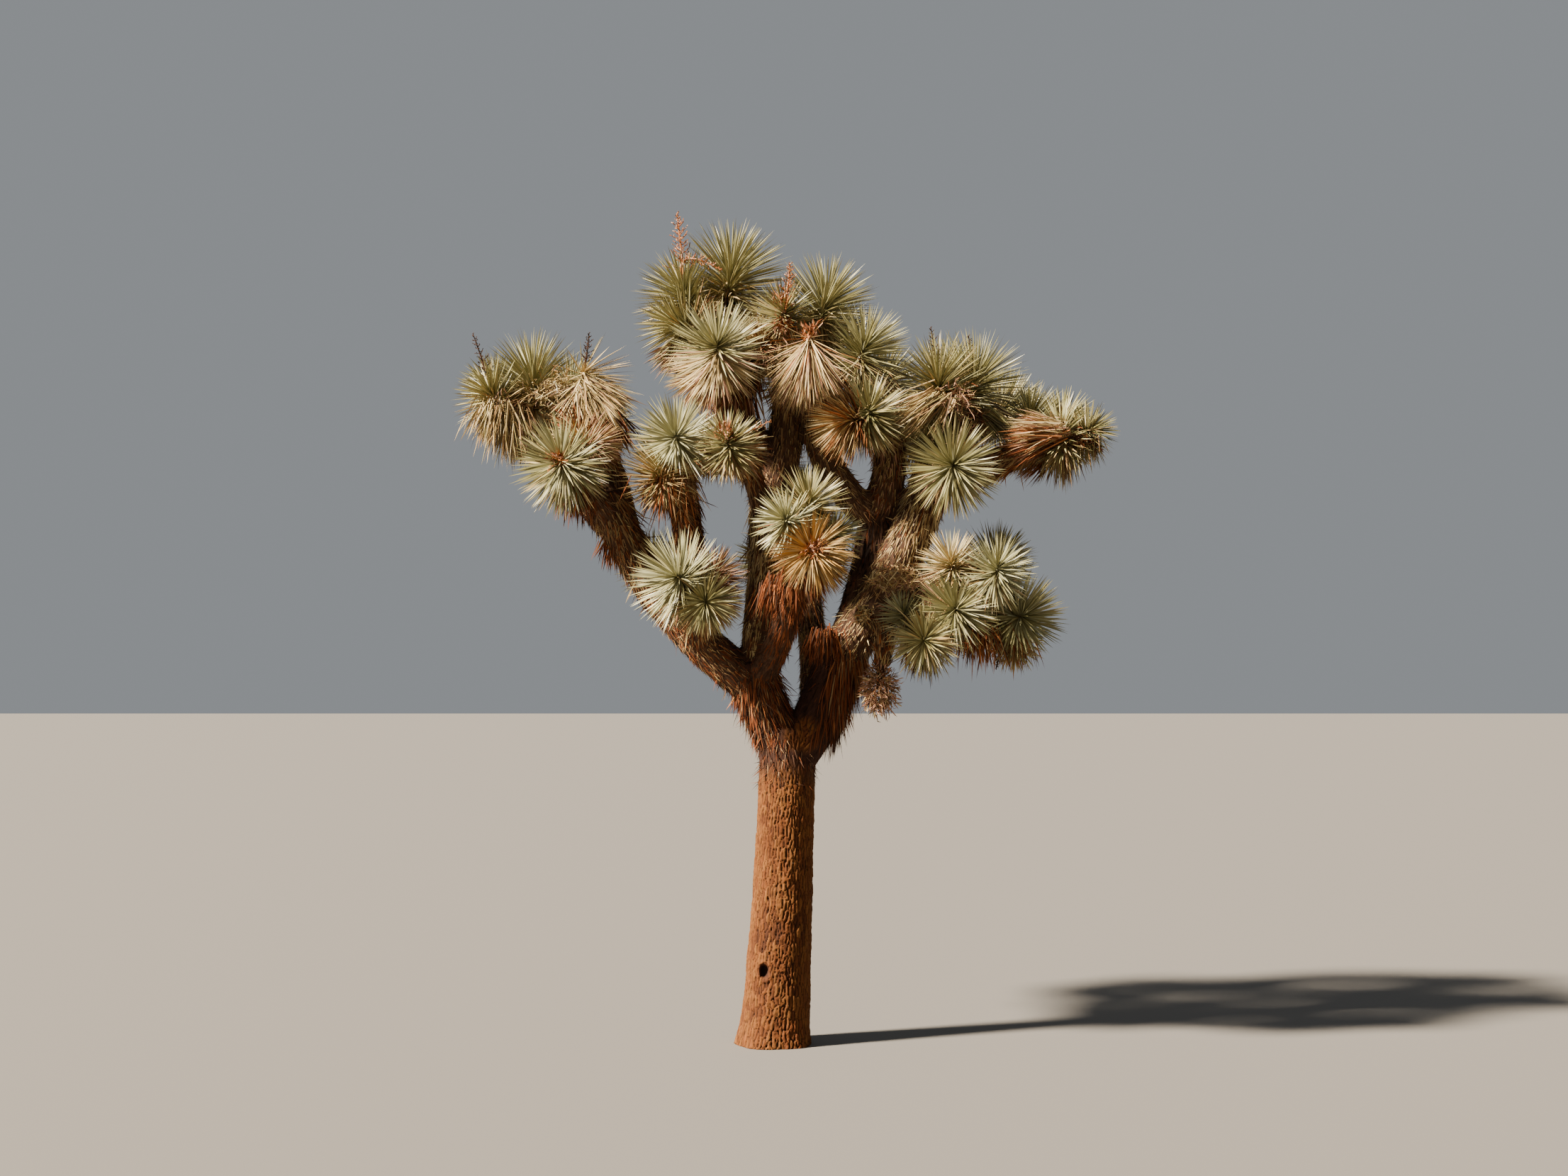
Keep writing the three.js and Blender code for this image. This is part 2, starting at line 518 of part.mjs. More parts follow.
// A leaf head: a short leafy club whose faces are drawn out into long pointed leaves.
function makeHead(head, others, wood) {
  const club = clubFaces(head.full ? FULL_CLUB : SPARSE_CLUB);
  const axis = vector(head.looks).normalize();
  const turned = new THREE.Quaternion().setFromUnitVectors(UP, axis);
  turned.multiply(new THREE.Quaternion().setFromAxisAngle(UP, between(0, Math.PI)));
  const droop = head.dead ? DEAD_DROOP : LIVE_DROOP;
  const directions = club.directions.map((upright) => {
    const direction = upright.clone().applyQuaternion(turned);
    const backward = THREE.MathUtils.clamp((0.5 - direction.dot(axis)) / 1.5, 0, 1);
    return direction.addScaledVector(UP, -droop * backward).normalize();
  });
  const corners = directions.map((direction) => head.centre.clone().addScaledVector(
    direction, head.core * (1 + (CORE_LENGTHENING - 1) * direction.dot(axis) ** 2)));
  const near = wood.filter((piece) => distanceToPiece(head.centre, piece) < head.reach * 1.3);
  const triangles = [];
  for (const face of club.faces) {
    const direction = new THREE.Vector3();
    face.forEach((corner) => direction.addScaledVector(directions[corner], between(0.7, 1.3)));
    direction.normalize();
    const forward = direction.dot(axis);
    const crownShare = THREE.MathUtils.lerp(1, CROWN_LEAF_SHARE, Math.max(0, forward));
    const wanted = head.reach * crownShare * (1 - LEAF_VARIATION * random());
    const halfWidth = corners[face[0]].distanceTo(corners[face[1]]) * 0.6;
    const reach = clearReach(head, direction, wanted, others, near, halfWidth);
    if (forward < STEM_SIDE_COSINE || reach < head.core * CORE_LENGTHENING + SHORTEST_LEAF) {
      triangles.push(...face);
      continue;
    }
    const point = corners.push(head.centre.clone().addScaledVector(direction, reach)) - 1;
    face.forEach((corner, index) => triangles.push(corner, face[(index + 1) % 3], point));
  }
  return solidFrom(corners, triangles);
}

// An old flower stalk: a bent rod with short side branches towards its tip.
function makeStalk(head) {
  const tip = head.centre.clone().add(vector(head.stalk));
  const path = bowedPath(head.centre, tip, vector([6, -4, 0]));
  const branch = (step, side, panel) => {
    if (step < STALK_BARE_STEPS || side !== step % STALK_SIDES) {
      return null;
    }
    const root = panel.reduce((sum, corner) => sum.add(corner), new THREE.Vector3()).divideScalar(4);
    const outward = root.clone().sub(path.getPointAt((step + 0.5) / STALK_STEPS)).normalize();
    return root.addScaledVector(outward.addScaledVector(UP, 0.6), STALK_BRANCH_LENGTH);
  };
  return roundBody(path, (place) => THREE.MathUtils.lerp(...STALK_RADIUS, place), STALK_SIDES, STALK_STEPS,
    STALK_RADIUS[1], branch);
}

function makeMass(mass, limbs, massesHeads, massesWood) {
  const heads = massesHeads.get(mass.name);
  const everyHead = [...massesHeads.values()].flat();
  const limbWood = [...limbs.values()].flatMap((limb) => limb.line);
  const foreign = [...massesWood].filter(([name]) => name !== mass.name);
  const foreignTwigs = foreign.flatMap(([, wood]) => wood.twigs.flat());
  const { twigs } = massesWood.get(mass.name);
  let woody = massesWood.get(mass.name).solid;
  for (const limb of limbs.values()) {
    woody = woody.subtract(limb.fattened);
  }
  woody = largestPiece(woody);
  const parts = heads.map((head, index) => {
    const others = everyHead.filter((other) => other !== head);
    const sisterTwigs = twigs.filter((_, twig) => twig !== index).flat();
    return makeHead(head, others, [...limbWood, ...foreignTwigs, ...sisterTwigs]);
  });
  parts.push(...heads.filter((head) => head.stalk).map(makeStalk));
  return largestPiece(wasm.Manifold.union([woody, ...parts]).simplify(SMALLEST_DETAIL));
}

function prepareHead(head, mass) {
  const full = head.reach >= FULL_HEAD_REACH && !mass.rear;
  return { ...head, full, centre: vector(head.at), core: head.reach * CORE_SHARE };
}

function namedMesh(name, solid, material) {
  const mesh = new THREE.Mesh(geometryFrom(solid), material);
  mesh.name = name;
  return mesh;
}

function growTree() {
  const tree = new THREE.Group();
  tree.name = "joshua_tree";
  const limbs = new Map([["trunk", makeTrunk()]]);
  for (const row of BOUGHS) {
    limbs.set(row.name, makeBough(row, limbs));
  }
  const massesHeads = new Map(MASSES.map((mass) => [
    mass.name, mass.heads.map((head) => prepareHead(head, mass)),
  ]));
  const massesWood = new Map(MASSES.map((mass) => [
    mass.name, massWood(massesHeads.get(mass.name), limbs.get(mass.on)),
  ]));
  for (const limb of limbs.values()) {
    const material = limb.name === "trunk" ? barkMaterial() : thatchedBarkMaterial();
    tree.add(namedMesh(limb.name, limb.solid.simplify(SMALLEST_DETAIL), material));
  }
  for (const mass of MASSES) {
    const dead = massesHeads.get(mass.name).every((head) => head.dead);
    const solid = makeMass(mass, limbs, massesHeads, massesWood);
    tree.add(namedMesh(mass.name, solid, dead ? deadLeafMaterial() : leafMaterial()));
  }
  return tree;
}

export default growTree();
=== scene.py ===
"""The looks of a Joshua tree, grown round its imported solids: barked wood, sprays of stiff leaves, the
thatch of dead leaves along the boughs, and old flower stalks. Metres, +Z up, -Y to the front."""

import math

import bmesh
import bpy
import numpy as np
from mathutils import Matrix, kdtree, noise


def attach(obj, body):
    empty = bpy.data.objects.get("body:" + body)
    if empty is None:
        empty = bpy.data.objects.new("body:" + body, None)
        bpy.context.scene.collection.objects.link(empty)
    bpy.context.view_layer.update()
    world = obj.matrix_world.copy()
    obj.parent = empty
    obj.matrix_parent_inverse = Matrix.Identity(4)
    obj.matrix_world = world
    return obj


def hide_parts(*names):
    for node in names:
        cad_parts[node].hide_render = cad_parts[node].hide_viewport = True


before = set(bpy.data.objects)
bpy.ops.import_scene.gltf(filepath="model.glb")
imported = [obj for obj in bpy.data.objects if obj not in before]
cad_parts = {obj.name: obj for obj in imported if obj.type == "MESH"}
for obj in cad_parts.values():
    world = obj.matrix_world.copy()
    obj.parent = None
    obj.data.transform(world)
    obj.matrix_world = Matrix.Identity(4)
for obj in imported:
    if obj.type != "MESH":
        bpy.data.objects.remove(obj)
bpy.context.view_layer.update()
rng = np.random.default_rng(4821)

MM = 0.001
UP = np.array([0.0, 0.0, 1.0])
GOLDEN_ANGLE = math.pi * (3 - math.sqrt(5))

# The limbs and leaf masses of the solids, in millimetres, as the part's source grows them.
TRUNK_TOP = (85, 0, 1790)
TRUNK_DEPTH = 70
TRUNK_BOW = (10, 10, 0)
TRUNK_RADIUS = 192
TRUNK_NARROWING = 50
FORK_SWELLING = 24
FORK_SWELLING_LENGTH = 260
FLARE = 27
FLARE_HEIGHT = 110
FLARE_LOBES = 5
FLARE_LOBE_DEPTH = 0.35
FLARE_TURN = 0.7
KNOT_AT = (-50, -166, 430)
KNOT_SIZE = (30, 34, 44)
STEM_LENGTH = 70
TWIG_FOOT = 0.93  # share of the limb at which its leading twig starts
TWIG_LEAD = 0.4  # how far before a head its twig turns to the head's way, as a share of the distance
SIDE_TWIG_PLACE = 0.36
SIDE_TWIG_STEP = 0.09
TWIG_RADIUS = (46, 32)
LEAF_VARIATION = 0.16
CROWN_LEAF_SHARE = 0.92
LIVE_DROOP = 0.35
DEAD_DROOP = 0.85

# name, grows on, from its share, tip, bow, radii
BOUGHS = [
    ("bough_left", "trunk", 0.93, (-125, -30, 2180), (-25, 0, 0), (140, 142)),
    ("bough_right", "trunk", 0.9, (400, -20, 2320), (40, 0, -30), (142, 150)),
    ("bough_far_left", "bough_left", 0.72, (-960, -60, 3130), (-80, -50, -70), (128, 118)),
    ("bough_centre", "bough_left", 0.78, (-35, -20, 3150), (20, 10, 0), (125, 116)),
    ("bough_right_inner", "bough_right", 0.86, (595, 30, 3110), (45, 10, 0), (108, 104)),
    ("bough_right_outer", "bough_right", 0.84, (960, -30, 3390), (55, -40, -30), (145, 132)),
    ("bough_back", "bough_right", 0.35, (140, 660, 2950), (40, -90, -60), (92, 80)),
    ("bough_back_left", "bough_far_left", 0.22, (-560, 680, 2790), (-30, 40, -110), (85, 72)),
    ("limb_left_upper", "bough_far_left", 0.8, (-1066, 30, 3638), (20, 20, 0), (92, 76)),
    ("limb_left_outer", "bough_far_left", 0.9, (-1490, 130, 3560), (-10, 60, -70), (80, 64)),
    ("limb_left_front", "bough_far_left", 0.86, (-1105, -235, 3265), (0, -30, -20), (72, 66)),
    ("limb_left_low", "bough_far_left", 0.3, (-440, -290, 2500), (0, -20, -40), (80, 70)),
    ("limb_left_mid", "bough_far_left", 0.45, (-560, -250, 3130), (75, -40, 0), (80, 72)),
    ("limb_top", "bough_centre", 0.92, (85, 30, 3890), (45, 0, 0), (116, 102)),
    ("limb_top_left", "limb_top", 0.3, (-355, 30, 4000), (-55, 0, -40), (98, 100)),
    ("limb_inner_left", "bough_centre", 0.88, (-150, -310, 3350), (0, -20, -30), (66, 60)),
    ("limb_front", "bough_left", 0.8, (150, -490, 2700), (20, -60, -50), (88, 76)),
    ("limb_top_right", "bough_right_inner", 0.88, (285, 50, 3960), (-165, -90, -40), (98, 86)),
    ("limb_upper_right", "bough_right_inner", 0.92, (650, -10, 3560), (50, -10, -10), (112, 100)),
    ("limb_right_front", "bough_right_outer", 0.84, (968, -235, 3255), (0, -30, -30), (76, 68)),
    ("limb_far_right", "bough_right_outer", 0.86, (1480, 10, 3430), (0, 10, -30), (100, 90)),
    ("limb_right_low", "bough_right_outer", 0.24, (1051, -260, 2640), (0, -30, -10), (130, 92)),
    ("limb_low_front", "limb_right_low", 0.72, (905, -350, 2470), (0, -40, 20), (76, 68)),
    ("limb_hanging", "limb_right_low", 0.1, (612, -215, 2170), (30, -70, 30), (58, 56)),
    ("limb_back_left_upper", "bough_back_left", 0.5, (-560, 600, 3380), (40, 0, 0), (72, 64)),
    ("limb_left_back", "bough_far_left", 0.8, (-1290, 500, 3500), (-20, 40, -90), (70, 62)),
    ("limb_back_top", "bough_centre", 0.75, (-300, 640, 3960), (60, 110, -60), (82, 68)),
    ("limb_back_top_right", "limb_top_right", 0.5, (400, 620, 3820), (0, 60, -70), (66, 60)),
    ("limb_back_right", "bough_right_outer", 0.66, (1030, 640, 3460), (0, 80, -100), (78, 68)),
    ("limb_back_right_low", "bough_right_outer", 0.26, (1030, 560, 2590), (0, 60, -30), (76, 66)),
]

# Each mass: its region, its bough, and its heads: at, looks, reach, palette, and what else it bears.
MASSES = {
    "foliage_far_left": ("left", "limb_left_outer", [
        ((-1630, 40, 3725), (-0.6, -0.2, 0.75), 255, "olive", {"stalk": (-120, -20, 370), "old": True}),
        ((-1415, 200, 3820), (-0.1, 0.1, 1), 362, "green"),
    ]),
    "foliage_left_top": ("left", "limb_left_upper", [
        ((-1110, 10, 3825), (0.1, -0.2, 1), 320, "bleached", {
            "stalk": (40, -20, 270), "old": True, "sweep": (0.5, -0.3, -0.75)}),
        ((-1050, -235, 3415), (0.8, -0.5, 0.1), 225, "rosy", {"sweep": (0.45, -0.2, -0.1)}),
    ]),
    "foliage_left_front": ("left", "limb_left_front", [
        ((-1182, -370, 3294), (-0.15, -0.95, 0.2), 305, "green", {"remains": True}),
    ]),
    "foliage_left_low": ("left", "limb_left_low", [
        ((-515, -440, 2640), (-0.45, -0.8, 0.35), 310, "silver"),
        ((-375, -480, 2515), (0.1, -0.95, -0.1), 220, "olive"),
        ((-350, -290, 2650), (0.5, -0.3, 0.85), 230, "pink", {"sweep": (0.3, -0.2, 0)}),
    ]),
    "foliage_left_mid": ("left", "limb_left_mid", [
        ((-545, -370, 3433), (-0.05, -0.95, 0.3), 275, "silver"),
        ((-640, -300, 3250), (-0.1, -0.3, 0.9), 260, "fading"),
    ]),
    "foliage_inner_left": ("left", "limb_inner_left", [
        ((-250, -450, 3395), (-0.1, -0.6, 0.7), 235, "olive", {"remains": True}),
    ]),
    "foliage_top_left": ("top", "limb_top_left", [
        ((-520, 80, 4325), (-0.35, -0.05, 0.93), 320, "green", {"stalk": (-48, 10, 490), "branches": 0.09}),
        ((-254, 150, 4440), (0.15, 0, 1), 385, "green"),
        ((-520, -70, 4120), (-0.85, -0.2, 0.35), 300, "olive"),
        ((-315, -350, 3940), (0, -0.8, 0.5), 318, "split"),
    ]),
    "foliage_top": ("top", "limb_top", [
        ((60, -90, 4185), (0, -0.6, 0.8), 240, "olive", {"stalk": (35, 0, 300), "remains": True}),
        ((205, -240, 3975), (0, -0.4, 0.9), 400, "cream", {"remains": True, "sweep": (-0.1, -0.35, -1.1)}),
        ((-70, -60, 4000), (-0.5, -0.5, 0.5), 210, "tangle"),
    ]),
    "foliage_top_right": ("top", "limb_top_right", [
        ((295, 60, 4259), (0.35, -0.1, 0.9), 350, "green"),
    ]),
    "foliage_upper_right": ("top", "limb_upper_right", [
        ((515, -100, 3970), (0.35, -0.45, 0.8), 315, "green"),
        ((540, -310, 3580), (0.1, -0.8, 0.5), 265, "olive"),
        ((440, -310, 3550), (-0.7, -0.5, -0.1), 275, "orange", {"sweep": (-0.6, -0.1, -0.45)}),
    ]),
    "foliage_right_top": ("right", "bough_right_outer", [
        ((955, -60, 3770), (-0.15, -0.3, 0.9), 345, "olive", {"stalk": (-48, -20, 346), "old": True}),
        ((1165, 110, 3795), (0.5, -0.1, 0.8), 370, "green", {"stalk": (-25, -20, 300), "old": True}),
    ]),
    "foliage_right_front": ("right", "limb_right_front", [
        ((1005, -390, 3276), (0.05, -0.95, 0.1), 300, "green"),
        ((900, -210, 3440), (-0.6, -0.6, 0.4), 190, "olive"),
    ]),
    "foliage_far_right": ("right", "limb_far_right", [
        ((1508, 170, 3600), (-0.15, -0.1, 1), 270, "green"),
        ((1659, -100, 3488), (-0.1, -0.4, 0.9), 240, "green"),
        ((1815, -70, 3515), (0.75, -0.45, 0.5), 195, "olive"),
        ((1590, 90, 3460), (-0.5, -0.3, 0.6), 270, "orange", {"sweep": (-0.9, -0.2, -0.35)}),
        ((1740, 450, 3620), (0.4, 0.8, 0.4), 230, "green"),
    ]),
    "foliage_right_low": ("right", "limb_right_low", [
        ((1000, -380, 2722), (-0.3, -0.5, 0.85), 225, "yellow"),
        ((1239, -520, 2683), (0.15, -0.75, 0.6), 235, "silver"),
        ((1380, -300, 2430), (0.35, -0.85, 0.2), 290, "green"),
        ((1370, -210, 2290), (0.1, -0.5, -0.6), 190, "fading"),
    ]),
    "foliage_low_front": ("right", "limb_low_front", [
        ((1010, -470, 2465), (0.1, -0.95, 0.15), 265, "green"),
        ((840, -510, 2300), (-0.2, -0.95, -0.1), 225, "olive"),
        ((735, -390, 2440), (-0.4, -0.5, 0.8), 172, "silver"),
    ]),
    "foliage_centre": ("centre", "limb_front", [
        ((195, -560, 3040), (0.15, -0.55, 0.75), 255, "olive"),
        ((80, -680, 2950), (-0.5, -0.75, 0.35), 220, "silver"),
        ((212, -720, 2785), (0.05, -0.98, -0.1), 256, "gold", {"remains": True}),
        ((330, -540, 2880), (0.75, -0.4, 0.55), 200, "olive"),
    ]),
    "foliage_hanging_dead": ("centre", "limb_hanging", [
        ((600, -240, 2030), (0, -0.15, -1), 140, "clump", {"sweep": (0, 0, -0.6)}),
    ]),
    "foliage_back": ("back", "bough_back", [
        ((145, 1080, 3230), (0, 0.5, 0.8), 275, "green"),
        ((-40, 880, 3470), (-0.4, 0.3, 0.9), 270, "olive"),
        ((270, 1050, 2820), (0.4, 0.9, 0.1), 260, "orange"),
        ((0, 900, 2810), (-0.6, 0.8, 0.1), 270, "green"),
    ]),
    "foliage_back_left": ("back", "bough_back_left", [
        ((-560, 930, 2650), (0, 0.95, 0.2), 270, "green"),
        ((-370, 780, 2570), (0.5, 0.7, 0), 220, "gold"),
        ((-740, 760, 2790), (-0.6, 0.5, 0.6), 250, "silver"),
    ]),
    "foliage_back_left_upper": ("back", "limb_back_left_upper", [
        ((-630, 880, 3490), (-0.4, 0.7, 0.6), 280, "green"),
        ((-330, 960, 3560), (0.5, 0.6, 0.6), 270, "olive", {"remains": True}),
    ]),
    "foliage_left_back": ("back", "limb_left_back", [
        ((-1440, 690, 3620), (-0.3, 0.8, 0.5), 280, "green"),
        ((-1100, 770, 3640), (0.4, 0.8, 0.4), 275, "olive"),
        ((-1680, 560, 3860), (-0.8, 0.3, 0.6), 240, "green"),
        ((-1260, 880, 3880), (0, 0.4, 0.9), 265, "silver"),
    ]),
    "foliage_back_top": ("back_high", "limb_back_top", [
        ((-470, 860, 4350), (-0.4, 0.4, 0.8), 280, "green"),
        ((-130, 960, 4230), (0.4, 0.6, 0.7), 290, "olive"),
        ((-440, 900, 3980), (-0.5, 0.8, 0.2), 270, "cream"),
    ]),
    "foliage_back_top_right": ("back_high", "limb_back_top_right", [
        ((345, 900, 4240), (0, 0.3, 0.95), 290, "green"),
        ((690, 970, 3950), (0.6, 0.6, 0.5), 275, "green", {"remains": True}),
        ((140, 1010, 3930), (-0.4, 0.9, 0.2), 270, "olive"),
    ]),
    "foliage_back_right": ("back_high", "limb_back_right", [
        ((1100, 970, 3970), (0.1, 0.5, 0.9), 285, "green"),
        ((860, 960, 3640), (-0.4, 0.9, 0.1), 275, "silver"),
        ((1130, 860, 3430), (0.3, 0.9, -0.2), 265, "orange"),
        ((1430, 780, 3740), (0.8, 0.5, 0.4), 280, "green"),
    ]),
    "foliage_back_right_low": ("back_high", "limb_back_right_low", [
        ((1050, 900, 2690), (-0.3, 0.9, 0.3), 265, "green"),
        ((1350, 790, 2510), (0.5, 0.8, 0), 260, "olive"),
        ((900, 760, 2410), (-0.4, 0.7, -0.5), 200, "gold"),
        ((1380, 920, 2820), (0.6, 0.5, 0.6), 270, "green"),
    ]),
}
REGION_OF_LIMB = {bough: region for region, bough, _ in MASSES.values()}

# Leaf heads
HEAD_LEAVES = 320  # leaves of a head of the usual reach
LEAF_COUNT_POWER = 1.3  # of the reach
USUAL_REACH = 0.27
YOUNGEST_ANGLE = math.radians(6)  # from the head's axis
OLDEST_ANGLE = math.radians(132)
FLOWERED_ANGLE = math.radians(20)  # no younger leaves than this where it has flowered
ANY_TURN = 6.3  # a first leaf may point any way round the axis
ANGLE_JITTER = 0.07
LEAF_WIDTH = 0.0112
LEAF_THICKNESS = 0.32  # as a share of its width
LEAF_PROFILE = ((0.0, 0.5), (0.65, 0.42))  # place along it, half width as a share of its width
SPIKE_PROFILE = ((0.0, 0.5),)
LEAF_STRETCH = 1.09  # how far a leaf goes past its place in the solid
BORDER_EASE = 1.3  # leaves of neighbouring heads mesh by this much
SHORTEST_SHARE = 0.5  # a leaf that has less room than this is left out
BACKMOST = -0.85  # as the cosine of the angle from the axis
ROOT_PLACES = (0.04, -0.11)  # along the axis, of the youngest leaf and the oldest
ROOT_GAP = 0.012
SAG = (0.01, 0.10)  # of the youngest leaf and the oldest
FACE_JITTER = 0.35
SKIRT_LEAVES = 230  # along the twig under a head
SKIRT_LENGTH = (0.14, 0.25)
SKIRT_WIDTH = 0.0105
SKIRT_SPAN = (0.3, 0.97)
SKIRT_LIFT = (22, 66)
SKIRT_HANG = (0.2, 0.7)
TANGLE = 0.5  # jitter of the leaves of a tangled head
DEAD_JITTER = 0.17
DEAD_COUNT_SHARE = 1.5  # a dead head has more leaves than a live one, and finer ones
DEAD_WIDTH_SHARE = 0.72
REMAINS_LEAVES = 60
CLUMP_LEAVES = 170
MATTED_LEAVES = 900
MATTED_SIZE = (110, 95, 165)  # half sizes of the clump that hangs from the right bough
TWIG_SHARE = 0.75  # a twig's wood as a share of its solid's radius

# Coats of old dead leaves along the limbs: close short ones like fur, and a fringe towards the heads.
FUR_PER_M2 = 3400
FUR_LENGTH = (0.04, 0.095)
FUR_WIDTH = 0.0078
FUR_LIFT = (5, 11)  # degrees off the limb, from foot to tip
FUR_HANG = (0.0, 0.15)
FRINGE_PER_M2 = 260
FRINGE_LENGTH = (0.10, 0.19)
FRINGE_WIDTH = 0.009
FRINGE_LIFT = (9, 24)
FRINGE_HANG = (0.1, 0.4)
FRINGE_START = 0.55  # share of the limb from which it hangs
STRAY_SHARE = 0.16  # of the leaves in a coat, those that stand off it
STRAY_LIFT = (14, 50)
STRAY_JITTER = 0.32
COAT_JITTER = 0.11
THATCH_DEPTH = 0.97  # where its leaves are rooted, as a share of the bark's radius
PATCH_SCALE = 4.0  # patches of younger and older leaves
PATCHINESS = 0.5
BARK_SHARE = (0.95, 0.88)  # bark radius as a share of the solid's, at a limb's foot and tip
SHAG_HEIGHTS = (1.43, 1.67)  # between these the trunk's plates give way to shaggy fibre, whose dark colour is partly painted shade of the crown
BARE_PATCH_AT = (172, -165, 1775)  # knobbly bark that shows again at the right bough's foot
BARE_PATCH_REACH = 115
LEAFLESS_SHARE = 0.75  # of that reach, in which no dead leaf is rooted
CROSS_CRACK_EASE = 0.22  # how much shallower the cracks across the trunk are than those along it
COATS = {
    "bough_far_left": "coat_dark",
    # Paler straw coat: painted sunlight on a limb that lies in the crown's shade.
    "bough_centre": "coat_painted_sunlight",
    "limb_top": "coat_tan",
    # Lighter straw and pink stripes: the thatch's own stripes, lightened as painted sunlight on a limb in
    # shade.
    "limb_upper_right": "coat_striped_painted_light",
    # Near-black coat: painted shade for the shadow that falls on this bough's left face.
    "bough_right_inner": "coat_black",
    "bough_back": "coat_pale",
    # Paler straw coat: painted sunlight on a limb that lies in the shade of the heads above.
    "bough_right_outer": "coat_painted_sunlight",
    "limb_left_low": "coat_dark",
    "limb_left_mid": "coat_rust",
    "limb_top_right": "coat_tan",
    "limb_front": "coat_umber",
    "limb_far_right": "coat_orange",
    "limb_right_low": "coat_pink",
    "limb_low_front": "coat_pink",
    "limb_hanging": "coat_dark",
}

# Plain leaf colours, linear.
TINTS = {
    "silver": (0.275, 0.263, 0.138),
    "sage": (0.25, 0.225, 0.098),
    "leaf": (0.155, 0.142, 0.050),
    "olive": (0.21, 0.168, 0.058),
    # Paler than any dead leaf: painted sunlight, used only by the pale coat of shaded limbs.
    "bleach": (0.60, 0.45, 0.27),
    "cream": (0.46, 0.355, 0.185),
    "straw": (0.335, 0.235, 0.098),
    "tan": (0.235, 0.137, 0.060),
    "pink": (0.36, 0.195, 0.12),
    "gold": (0.36, 0.20, 0.058),
    "orange": (0.28, 0.10, 0.030),
    "rust": (0.125, 0.034, 0.010),
    "umber": (0.042, 0.019, 0.010),
    "ash": (0.125, 0.075, 0.045),
    # Near black: the old stalks' own colour, and painted shade in the near-black coat.
    "soot": (0.016, 0.009, 0.006),
}
TINT_NAMES = list(TINTS)
GREEN_TINTS = ("silver", "sage", "leaf", "olive")  # waxy, where the dead ones are dull

